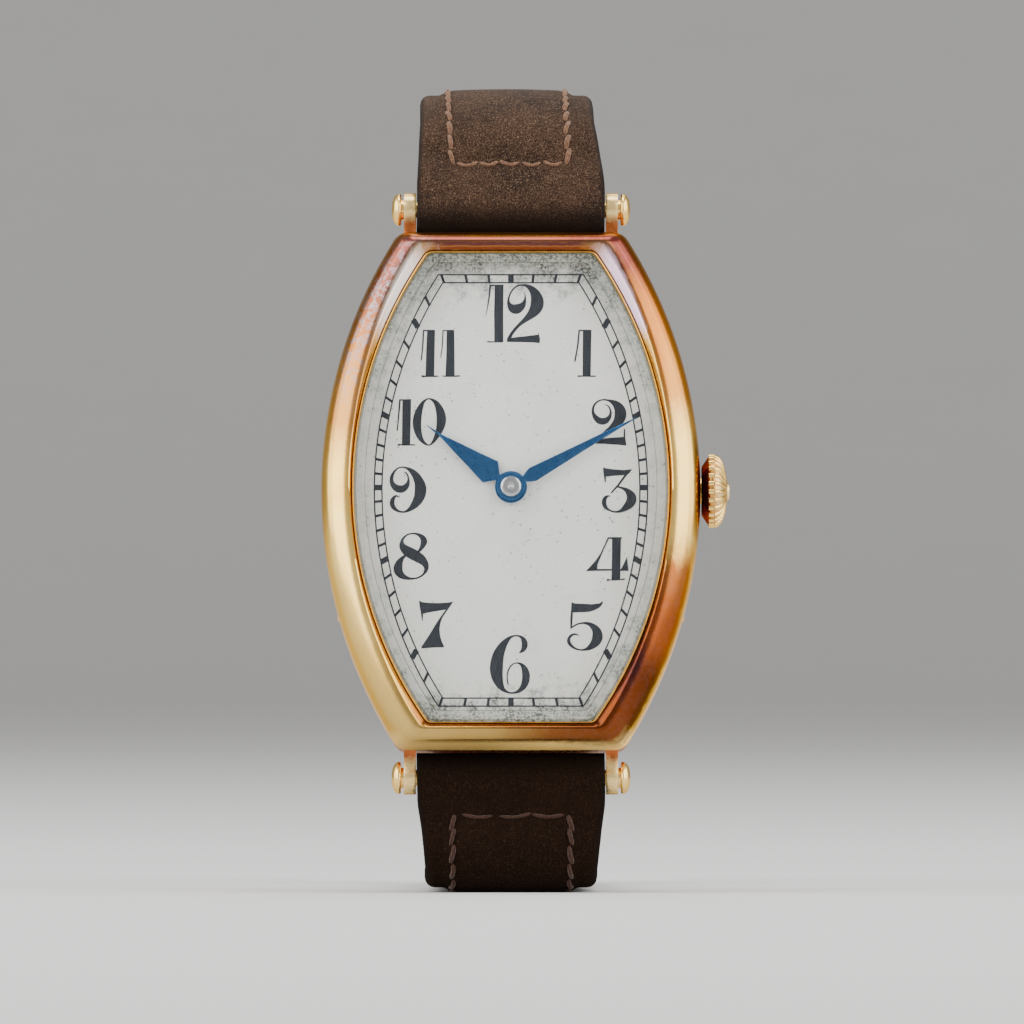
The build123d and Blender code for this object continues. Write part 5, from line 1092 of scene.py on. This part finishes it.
hourSet = {
    "angle": 143.6,
    "low": 0.75,
    "thick": 0.15,
    "plan": [
        (0.9, 0.25), (1.26, 0.27), (1.5, 0.55), (1.9, 0.98), (2.15, 0.93), (3.4, 0.68), (5.0, 0.39),
        (6.3, 0.14), (6.7, 0.09), (7.2, 0.06), (7.8, 0.03),
    ],
    "drop": [(0, 0), (8, 0)],
    "hub": [
        (0.80, 0.60), (0.98, 0.60), (0.98, 0.72), (1.17, 0.75), (1.2, 0.78), (1.2, 0.86), (1.17, 0.90),
        (0.84, 0.90), (0.80, 0.86), (0.80, 0.60),
    ],
}
minuteSet = {
    "angle": 29,
    "low": 1.18,
    "thick": 0.15,
    "plan": [
        (0.8, 0.18), (1.1, 0.2), (1.35, 0.36), (1.85, 0.56), (2.4, 0.52), (4.0, 0.42), (6.0, 0.30),
        (7.8, 0.20), (9.4, 0.11), (10.7, 0.035),
    ],
    "drop": [(0, 0), (7.8, 0), (9.3, -0.13), (10.7, -0.3)],
    "hub": [
        (0.55, 1.0), (0.72, 1.0), (0.72, 1.16), (1.03, 1.18), (1.06, 1.21), (1.06, 1.29), (1.02, 1.34),
        (0.88, 1.36), (0.79, 1.34), (0.74, 1.28), (0.55, 1.28), (0.55, 1.0),
    ],
}
centreDisc = [
    (0, 1.20), (0.75, 1.20), (0.765, 1.34), (0.75, 1.40), (0.70, 1.43), (0.45, 1.445), (0.22, 1.45),
    (0.19, 1.435), (0.17, 1.40), (0.15, 1.40), (0.13, 1.44), (0.07, 1.47), (0, 1.475),
]


roofSet = {
    "steps": 48,
    "edge": 0.035,
    "foot": 0.03,
    "flank": 0.05,
    "brow": 0.012,
    "ridge": 0.35,
    "rise": 0.006,
}


def handBlade(values):
    # The blade's cross-section is a shallow roof with soft edges, so light runs along it.
    plan, count = values["plan"], roofSet["steps"]
    start, end = plan[0][0], plan[-1][0]
    sections = []
    for step in range(count + 1):
        along = start + (end - start) * step / count
        half = betweenStops(plan, along)
        low = values["low"] + betweenStops(values["drop"], along)
        edge, top = min(roofSet["edge"], half * 0.4), low + values["thick"]
        right = [
            (half, low + roofSet["foot"]), (half, top - roofSet["flank"]),
            (half - edge, top - roofSet["brow"]), (half * roofSet["ridge"], top + roofSet["rise"]),
        ]
        ring = right + [(-y, z) for y, z in reversed(right)] + [(edge - half, low), (half - edge, low)]
        sections.append([(along, y, z) for y, z in ring])
    return ringLoft(sections, closed=False, caps=True)


def makeHand(name, values, node):
    verts, faces = handBlade(values)
    turn = Matrix.Rotation(math.radians(values["angle"]), 4, "Z")
    blade = ([turn @ Vector(v) for v in verts], faces)
    shape = joined([blade, lathe(values["hub"], Matrix.Identity(4), 64)])
    makePiece(name, shape, bluedSteel, (node + "_set", "blued_steel", node))


makeHand("hourHand", hourSet, "hour_hand")
makeHand("minuteHand", minuteSet, "minute_hand")
discOwner = ("minute_hand_set", "polished_steel", "minute_hand")
makePiece("handCentre", lathe(centreDisc, Matrix.Identity(4), 64), polishedSteel, discOwner)
print("hands ready")


# Crown: a lathe-turned core with ribs that run up over its dome

crownSet = {
    "start": 14.24,
    "stemDepth": -2.2,
    "tip": 1.99,
    "radius": 2.78,
    "coreDrop": 0.15,
    "foot": [(0, 0.3), (1.1, 0.3), (1.1, 0.02), (1.3, 0)],
    "hem": [(0.68, 0.0), (0.72, 0.05)],  # share of the core's radius, height
    "skirt": 0.54,
    "ribs": 26,
    "ribRadius": 0.21,
    "side": 0.42,
    "bend": (1.57, 2.64),
    "domeRadius": 0.85,
    "domeSteps": 9,
    "button": [(0.80, -0.07), (0.70, -0.05), (0.65, 0.02), (0.60, 0.09), (0.49, 0.12), (0, 0.13)],
}


def makeCrown(values):
    radius, tip, dome, drop = values["radius"], values["tip"], values["domeRadius"], values["coreDrop"]
    core, skirt, rib, steps = radius - drop, values["skirt"], values["ribRadius"], values["domeSteps"]
    side = skirt + values["side"]
    bendAlong, bendRadius = values["bend"]
    profile = values["foot"] + [(core * share, height) for share, height in values["hem"]]
    profile += [(core * 0.97, skirt - 0.04), (core, skirt + 0.04), (core, side)]
    stops = ((core, side), (bendRadius - drop, bendAlong), (dome - 0.05, tip - 0.08))
    for t in (step / steps for step in range(1, steps)):
        shares = ((1 - t) ** 2, 2 * t * (1 - t), t**2)
        sides = zip(*stops)
        profile.append(tuple(sum(share * part for share, part in zip(shares, side)) for side in sides))
    profile += [(across, tip + height) for across, height in values["button"]]
    place = (values["start"], 0, values["stemDepth"])
    stand = Matrix.Translation(place) @ Matrix.Rotation(math.radians(90), 4, "Y")
    owner = ("crown_and_stem", "case_gold", "crown")
    makePiece("crownCore", lathe(profile, stand, 104), crownGold, owner, sharpAngle=45)
    angles = [2 * math.pi * number / values["ribs"] for number in range(values["ribs"])]
    points = [(place, (0, math.cos(angle), math.sin(angle)), (1, 0, 0), (1, 1, 1)) for angle in angles]
    inputs = {
        "Wander": 0.0, "Seed": 1, "Material": paleGold, "Side start": skirt + 0.02, "Side end": side,
        "Side radius": radius - rib, "Bend along": bendAlong, "Bend radius": bendRadius - rib,
        "Dome end": tip - 0.16, "Dome radius": dome - 0.08, "Rib radius": rib,
    }
    addPiece("crownRibs", grownMesh("crownRibs", ribTree(), points, inputs, headFrame, 60), *owner)


makeCrown(crownSet)


# Case and buckle: the CAD shapes with softened edges, by name, edge width, look and body

softNodes = {
    "middle_case": ("middleCase", 0.24, lugGold, "case"),
    "case_back": ("caseBack", 0.18, caseGold, "case"),
    "buckle_frame": ("buckleFrame", 0.28, paleGold, "buckle_frame"),
    "buckle_tongue": ("buckleTongue", 0.18, paleGold, "buckle_tongue"),
}
for node, (name, width, finish, body) in softNodes.items():
    mesh = softened(node, width)
    mesh.name = name
    mesh.materials.clear()
    mesh.materials.append(finish)
    addPiece(name, mesh, body, "case_gold", node)
print("case ready")


# Strap bars: a plain rod, a thin neck and a domed head at each end, the right one slotted

barSet = {
    "y": 21.35,
    "z": -2.0,
    "outer": 8.0,
    "rod": [(0, -8.0), (0.60, -8.0), (0.60, 7.98), (0, 7.98)],
    "head": [
        (0, -0.05), (0.75, -0.05), (0.75, 0.2), (1.10, 0.22), (1.17, 0.27), (1.2, 0.36), (1.18, 0.47),
        (1.11, 0.59), (0.99, 0.70), (0.82, 0.79), (0.60, 0.86), (0.32, 0.90), (0, 0.91),
    ],
    "slot": (0.12, 0.24),
}


def makeBars(values):
    halfSlot, deep = values["slot"]
    outer, head, z = values["outer"], values["head"], values["z"]
    far = outer + head[-1][1]
    for label, y in (("upper", values["y"] + caseDrop), ("lower", caseDrop - values["y"])):
        left, middle, right = (
            Matrix.Translation((x, y, z)) @ Matrix.Rotation(math.radians(turn), 4, "Y")
            for x, turn in ((-outer, -90), (0, 90), (outer, 90))
        )
        bar = joined([lathe(values["rod"], middle, 32), lathe(head, left, 48)])
        makePiece(label + "Bar", bar, paleGold, ("case", "case_gold", label + "_strap_bar"), sharpAngle=50)
        mesh = meshFrom(label + "Screw", lathe(head, right, 48), headFrame, [paleGold], 50)
        slot = boxShape((far - deep, y - 2, z - halfSlot), (far + 1, y + 2, z + halfSlot))
        mesh = cutAway(mesh, [slot], headFrame)
        addPiece(label + "BarScrew", mesh, "case", "case_gold", label + "_bar_screw")


# Straps: path is y and z, widths are half widths along it, all in mm

upperSet = {
    "path": [(-16.14, 51.01), (-16.14, 58.86), (2.8, 57.66), (15.8, 45), (15.8, 25)],
    "radii": [6.5, 11.5, 11.5],
    "outside": 1,
    "widths": [(-2, 7.03), (1.7, 7.03), (3.6, 6.86), (7, 6.52), (12, 6.46), (24, 6.2), (34, 5.85), (60, 5.8)],
    "rowAt": 3.15,
    "rowLength": 1.35,
    "rowSpan": (-4.0, 4.0),
    "lean": -0.32,
    "lineEnd": 4.2,
    "rollStart": 1.86,
    "rollEnd": 1.35,
    "tipRadius": 0,
    "fullness": 0.45,
    "seed": 21,
}
lowerSet = {
    "path": [(-20.6, 8.55), (-22.7, 1.15), (24.5, 1.15), (38.5, 14), (36, 29)],
    "radii": [2.2, 22, 16],
    "outside": -1,
    "widths": [(-2, 7.03), (1.7, 7.02), (4, 6.72), (7, 6.44), (14, 6.42), (50, 6.0), (70, 5.5), (120, 5.5)],
    "rowAt": 3.2,
    "rowLength": 2.42,
    "rowSpan": (-3.75, 4.0),
    "lean": 0.0,
    "lineEnd": 5.5,
    "rollStart": 1.86,
    "rollEnd": 0,
    "tipRadius": 5.5,
    "fullness": 0.0,
    "seed": 22,
}
strapHalf = 1.15
lineHalf = 4.38
lineInset = 1.0
spacing = 0.45
padSet = {
    "start": (0.5, 1.2),  # how far before the row the pad begins, and its slope's length
    "fullness": (2.5, 7, 20.0),  # rises over the first length, fades over the second, gone at the third
    "border": (0.36, 0.05, 0.75),  # drop beside the lines of stitches, inset and slope
    "crown": 0.12,
    "lineGroove": (0.13, 0.22),  # depth and width
    "rowGroove": (0.16, 0.24),
    "tip": 2.5,
}
outerShares = [
    0, 0.08, 0.16, 0.24, 0.32, 0.40, 0.47, 0.53, 0.58, 0.61, 0.64, 0.665, 0.69, 0.715, 0.74, 0.77, 0.80,
    0.84, 0.88, 0.915, 0.94, 0.96, 0.975, 0.99, 1.0,
]
innerShares = [1.0, 0.985, 0.95, 0.9, 0.75, 0.5, 0.25, 0]


def roundedPath(points, radii):
    # Stations along a path of runs and arcs: (y, z, direction y, direction z, distance).
    stations, walked, here = [], 0.0, Vector(points[0])
    for index in range(1, len(points)):
        corner = Vector(points[index])
        along = last = (corner - here).normalized()
        turn = cut = 0
        if index < len(points) - 1:
            following = (Vector(points[index + 1]) - corner).normalized()
            turn, radius = along.angle(following), radii[index - 1]
            cut = radius * math.tan(turn / 2)
        run = (corner - here).length - cut
        steps = max(int(run / spacing), 1)
        for step in range(steps):
            stations.append((*(here + along * run * step / steps), *along, walked + run * step / steps))
        walked += run
        here = corner
        if turn:
            side = 1 if along.x * following.y - along.y * following.x > 0 else -1
            first = corner - along * cut
            centre = first + Vector((-along.y, along.x)) * side * radius
            steps = max(int(radius * turn / spacing), 6)
            for step in range(steps):
                swing = Matrix.Rotation(side * turn * step / steps, 2)
                place = centre + swing @ (first - centre)
                stations.append((*place, *(swing @ along), walked + radius * turn * step / steps))
            walked += radius * turn
            here, last = corner + following * cut, following
    return stations + [(*here, *last, walked)], walked


def stationAt(stations, distance):
    for low, high in zip(stations, stations[1:]):
        if distance <= high[4]:
            share = (distance - low[4]) / max(high[4] - low[4], 1e-9)
            return [a + (b - a) * share for a, b in zip(low, high)]
    return stations[-1]


def strapHalfWidth(values, distance, total):
    half, tip = betweenStops(values["widths"], distance), values["tipRadius"]
    into = distance - (total - tip)
    if tip and into > 0:
        half = min(half, math.sqrt(max(tip**2 - into**2, 0.0)))
    return half


def rolled(values, distance, total):
    # Half the thickness, with the roll round a bar at each end.
    half = strapHalf + (values["rollStart"] - strapHalf) * (1 - easeStep(distance / 3.2))
    if values["rollEnd"]:
        half += (values["rollEnd"] - strapHalf) * easeStep((distance - total + 3) / 3)
    return half


def strapLift(values, distance, total, x, half):
    # Height of the outer face over the strap's middle line: padding, a groove and a row of stitches.
    past, across = distance - values["rowAt"], abs(x)
    (before, slope), (rise, fade, end) = padSet["start"], padSet["fullness"]
    (drop, inset, border), (depth, width) = padSet["border"], padSet["lineGroove"]
    lift = rolled(values, distance, total)
    lift += values["fullness"] * easeStep(past / rise) * easeStep((end - distance) / fade)
    padded = easeStep((past + before) / slope)
    if values["tipRadius"]:
        padded *= easeStep((total - distance) / padSet["tip"])
    line = min(lineHalf, half - lineInset)
    lift -= drop * easeStep((across - line + inset) / border) * padded
    lift += padSet["crown"] * padded * (1 - min(across / max(line, 0.1), 1) ** 2)
    lift -= depth * math.exp(-(((across - line) / width) ** 2)) * padded
    if across < line:
        depth, width = padSet["rowGroove"]
        lift -= depth * math.exp(-((past / width) ** 2))
    return lift


def sideways(values, distance):
    # A strap's slight wave, and its lean that comes over 8 mm and is gone again after 34 mm.
    lean = values["lean"] * easeStep(distance / 8)
    return 0.05 * math.sin(distance * 0.35) + lean * easeStep((34 - distance) / 14)


def strapPoint(values, station, x, lift):
    y, z, alongY, alongZ, _ = station
    side = values["outside"]
    return Vector((x, y - alongZ * side * lift, z + alongY * side * lift))


def edgeDrop(x, half, rounding):
    over = max((x - half + rounding) / rounding, 0)
    return rounding * (1 - math.sqrt(max(1 - over**2, 0)))


def strapSection(values, station, total):
    # One loop round the strap, and how dark each of its points is: dark at its sides, and painted shade where
    # it rolls round the bar.
    distance = station[4]
    half = max(strapHalfWidth(values, distance, total), 0.05)
    past, roll = -distance, values["rollStart"]
    if values["rollEnd"] and distance > total:
        past, roll = distance - total, values["rollEnd"]
    keep = math.sqrt(max(1 - (max(past, 0) / roll) ** 2, 0))
    rounding = 0.24 + 0.5 * easeStep((distance - 1.5) / 3)
    inner = rolled(values, distance, total) - 0.05
    loop = []
    for share in outerShares:
        x = half * share
        lift = strapLift(values, distance, total, x, half) - edgeDrop(x, half, rounding)
        loop.append((x, lift * keep, share))
    for share in innerShares:
        x = half * share
        loop.append((x, (edgeDrop(x, half, rounding * 0.8) - inner) * keep, share))
    loop += [(-x, lift, share) for x, lift, share in reversed(loop[1:-1])]
    # painted shade: dark on the roll round the bar, fading out over the first mm of the strap
    shaded, drift = 0.9 * (1 - easeStep((distance + 1.0) / 1.9)), sideways(values, distance)
    row = [strapPoint(values, station, x + drift, lift) for x, lift, _ in loop]
    return row, [max(easeStep((share - 0.93) / 0.07), shaded) for _, _, share in loop]


def strapMesh(name, values, material):
    stations, total = roundedPath(values["path"], values["radii"])
    first, last, quarter = stations[0], stations[-1], math.pi / 2

    def beyond(station, roll, share):
        y, z, alongY, alongZ, walked = station
        extra = roll * min(max(share, -0.999), 0.999)
        return (y + alongY * extra, z + alongZ * extra, alongY, alongZ, walked + extra)

    roll = [beyond(first, values["rollStart"], -math.cos(quarter * step / 9)) for step in range(9)]
    stations = roll + stations
    if values["rollEnd"]:
        stations += [beyond(last, values["rollEnd"], math.sin(quarter * step / 8)) for step in range(1, 9)]
    else:
        tip = values["tipRadius"]
        ends = [stationAt(stations, total - tip + tip * math.sin(quarter * step / 14)) for step in range(15)]
        stations = [station for station in stations if station[4] < total - tip] + ends
    rows, marks = [], []
    for station in stations:
        row, mark = strapSection(values, station, total)
        rows.append(row)
        marks += mark
    shape = ringLoft(rows, closed=False, caps=True)
    return meshFrom(name, shape, rowFrame, [material], 50, marks=("edge", marks)), stations, total


holeSet = {"count": 6, "pitch": 5.0, "first": 12.0, "radius": 0.8}
tongueSlot = ((-0.85, 12.8, 22), (0.85, 18.8, 27.3))
stitchSet = {"Wander": 0.10, "Length": 1.0, "Thickness": 0.30}
stitchRise = {True: 0.62, False: 0.36}
sewSet = {
    "lift": 0.05,
    "pitch": 0.98,
    "sag": 1.1,
    "slant": 0.22,
    "lengths": (0.92, 1.08),
    "widths": (0.9, 1.15),
    "rowGap": 0.3,
    "rowShift": 0.05,
    "rowWidth": 0.85,
    "lineStart": 0.55,
    "lineShift": 0.04,
    "lineSize": (1.25, 1.2),
}


def stitchPoints(values, stations, total):
    # Where the stitches sit: True holds the row across the strap, False the two lines along it.
    points = {True: [], False: []}
    generator = random.Random(values["seed"])
    outside = values["outside"]

    def put(distance, x, across, long, thick):
        station = stationAt(stations, distance)
        half = strapHalfWidth(values, distance, total)
        lift = strapLift(values, distance, total, x, half) + sewSet["lift"]
        at = strapPoint(values, station, x + sideways(values, distance), lift)
        outwards = Vector((0, -station[3] * outside, station[2] * outside))
        forwards = Vector((0, station[2], station[3]))
        along = forwards + Vector((math.copysign(sewSet["slant"], x), 0, 0))
        if across:
            outwards, along = outwards * 0.8 - forwards * outside * sewSet["sag"], Vector((1, 0, 0))
        longer, wider = generator.uniform(*sewSet["lengths"]), generator.uniform(*sewSet["widths"])
        size = (long * longer, thick * wider, thick)
        points[across].append((at, outwards, along, size))

    (low, high), long = values["rowSpan"], values["rowLength"]
    shift = sewSet["rowShift"]
    count = max(int((high - low) / (long + sewSet["rowGap"])), 1) + 1
    for number in range(count):
        x = low + (high - low) * ((number + 0.5) / count)
        put(values["rowAt"] + generator.uniform(-shift, shift), x, True, long, sewSet["rowWidth"])
    distance, shift = values["rowAt"] + sewSet["lineStart"], sewSet["lineShift"]
    while distance < total - values["lineEnd"]:
        line = min(lineHalf, strapHalfWidth(values, distance, total) - lineInset)
        for x in (-line, line):
            put(distance + generator.uniform(-shift, shift), x, False, *sewSet["lineSize"])
        distance += sewSet["pitch"]
    return points


def cutAway(mesh, shapes, place):
    # Takes closed shapes out of a mesh.
    cutter = addObject("cutter", meshFrom("blade", joined(shapes), place))
    result = modified(mesh, "BOOLEAN", {"operation": "DIFFERENCE", "solver": "EXACT", "object": cutter})
    bpy.data.objects.remove(cutter)
    finishMesh(result, 50, False)
    return result


def rodAt(station, radius, half):
    # A rod across a strap's thickness, for a buckle hole.
    y, z, alongY, alongZ, _ = station
    stand = Matrix(((1, 0, 0, 0), (0, alongY, -alongZ, y), (0, alongZ, alongY, z), (0, 0, 0, 1)))
    return lathe([(0, -half), (radius, -half), (radius, half), (0, half)], stand, 24)


def boxShape(low, high):
    (x0, y0, z0), (x1, y1, z1) = low, high
    verts = [(x, y, z) for z in (z0, z1) for x, y in ((x0, y0), (x1, y0), (x1, y1), (x0, y1))]
    return verts, [(0, 3, 2, 1), (4, 5, 6, 7), (0, 1, 5, 4), (1, 2, 6, 5), (2, 3, 7, 6), (3, 0, 4, 7)]


def makeStraps():
    sewing = stitchTree()
    parts = (("lower", lowerSet, shadedLowerLeather, shadedLowerThread), ("upper", upperSet, strapLeather, upperThread))
    for label, values, leather, thread in parts:
        owner = (label + "_strap", "strap_leather", label + "_strap")
        mesh, stations, total = strapMesh(label + "Strap", values, leather)
        cuts = [boxShape(*tongueSlot)]
        if label == "lower":
            numbers = range(holeSet["count"])
            distances = [total - holeSet["first"] - number * holeSet["pitch"] for number in numbers]
            cuts = [rodAt(stationAt(stations, distance), holeSet["radius"], 2.5) for distance in distances]
        addPiece(label + "Strap", cutAway(mesh, cuts, rowFrame), *owner)
        for across, points in stitchPoints(values, stations, total).items():
            inputs = dict(stitchSet, Seed=values["seed"], Material=thread, Rise=stitchRise[across])
            name = label + ("RowStitches" if across else "SideStitches")
            addPiece(name, grownMesh(name, sewing, points, inputs, rowFrame), *owner)


makeStraps()
makeBars(barSet)
print("straps and bars ready")


# Keepers: leather loops with rounded edges

keeperSet = {"wall": 0.9, "round": 0.3, "corner": 0.85}


def makeKeeper(name, node, body):
    low, high = (corner * 1000 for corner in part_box(node))
    wall, corner, edge = keeperSet["wall"], keeperSet["corner"], keeperSet["round"]
    halfX, halfY, tall = (high.x - low.x) / 2, (high.y - low.y) / 2, high.z - low.z
    middle = (high + low) / 2
    section = []
    for inX, inZ, first in ((0, 0, 180), (0, 1, 90), (1, 1, 0), (1, 0, 270)):
        for angle in (math.radians(first - 30 * step) for step in range(4)):
            out = wall - edge if inX else edge
            up = tall - edge if inZ else edge
            section.append((out - edge * math.cos(angle + math.pi), up + edge * math.sin(angle)))
    rows = []
    for index, (signX, signY) in enumerate(((1, 1), (-1, 1), (-1, -1), (1, -1))):
        x, y = middle.x + signX * (halfX - corner), middle.y + signY * (halfY - corner)
        for angle in (math.pi / 2 * (index + step / 8) for step in range(9)):
            outX, outY = math.cos(angle), math.sin(angle)
            rows.append([
                (x + outX * (corner - depth), y + outY * (corner - depth), low.z + up)
                for depth, up in section
            ])
    marks = [0.7 if min(up, tall - up) < edge * 1.5 else 0.0 for _, up in section] * len(rows)
    owner = (body, "strap_leather", node)
    makePiece(name, ringLoft(rows), strapLeather, owner, rowFrame, 50, ("edge", marks))


makeKeeper("fixedKeeper", "fixed_keeper", "upper_strap")
makeKeeper("slidingKeeper", "sliding_keeper", "sliding_keeper")
print("keepers ready")


# Floor and light

stageSet = {
    "floorColour": (0.62, 0.62, 0.62),
    "halfWidth": 3.2,
    "front": -2.9,
    "back": 3.4,
    "rise": 2.6,
    "bend": 1.2,
    "world": ((0.98, 0.965, 0.94, 1), 0.62),
    "target": (0, 0, 0.03),
    "lamps": [  # name, place, size, watts, colour
        ("keyLight", (-0.74, -0.52, 0.42), (0.95, 1.10), 12.8, (1.0, 0.985, 0.96)),
        ("fillLight", (0.74, -0.54, 0.38), (0.95, 1.10), 11.4, (0.99, 0.99, 0.98)),
        ("leftLight", (-0.95, 0.12, 0.40), (0.60, 0.80), 3.9, (1.0, 0.985, 0.96)),
        ("rightLight", (0.95, 0.12, 0.40), (0.60, 0.80), 3.9, (0.99, 0.99, 0.98)),
        ("topLight", (0.0, 0.0, 0.80), (0.60, 0.45), 4.0, (1.0, 1.0, 1.0)),
        ("backLight", (0.1, 0.75, 0.90), (0.60, 0.50), 2.6, (1.0, 1.0, 1.0)),
    ],
}


def makeFloor(values):
    # A flat floor that bends up into a wall far behind.
    half, bend, back = values["halfWidth"], values["bend"], values["back"]
    profile = [(values["front"], 0.0)]
    for angle in (math.pi / 2 * step / 12 for step in range(13)):
        profile.append((back - bend + bend * math.sin(angle), bend * (1 - math.cos(angle))))
    profile.append((back, values["rise"]))
    verts = [(x, y, z) for y, z in profile for x in (-half, half)]
    faces = [(2 * step, 2 * step + 1, 2 * step + 3, 2 * step + 2) for step in range(len(profile) - 1)]
    mesh = bpy.data.meshes.new("studioFloor")
    mesh.from_pydata(verts, [], faces)
    mesh.shade_smooth()
    p = Paint("studioPaper", {"Specular IOR Level": 0.3}, values["floorColour"], False)
    p.layer(p.noise(0.06, 3, 0.5), [part * 0.97 for part in values["floorColour"]])
    mesh.materials.append(p.done(0.6))
    addObject("studioFloor", mesh)


def makeLight(values):
    world = bpy.data.worlds.new("studioAir")
    world.use_nodes = True
    air = world.node_tree.nodes["Background"].inputs
    air["Color"].default_value, air["Strength"].default_value = values["world"]
    bpy.context.scene.world = world
    for name, place, size, watts, colour in values["lamps"]:
        lamp = bpy.data.lights.new(name, "AREA")
        lamp.shape = "RECTANGLE"
        lamp.size, lamp.size_y = size
        lamp.energy, lamp.color = watts, colour
        holder = addObject(name, lamp)
        holder.location = place
        holder.rotation_euler = (Vector(values["target"]) - Vector(place)).to_track_quat("-Z", "Y").to_euler()


makeFloor(stageSet)
makeLight(stageSet)
print("stage ready")
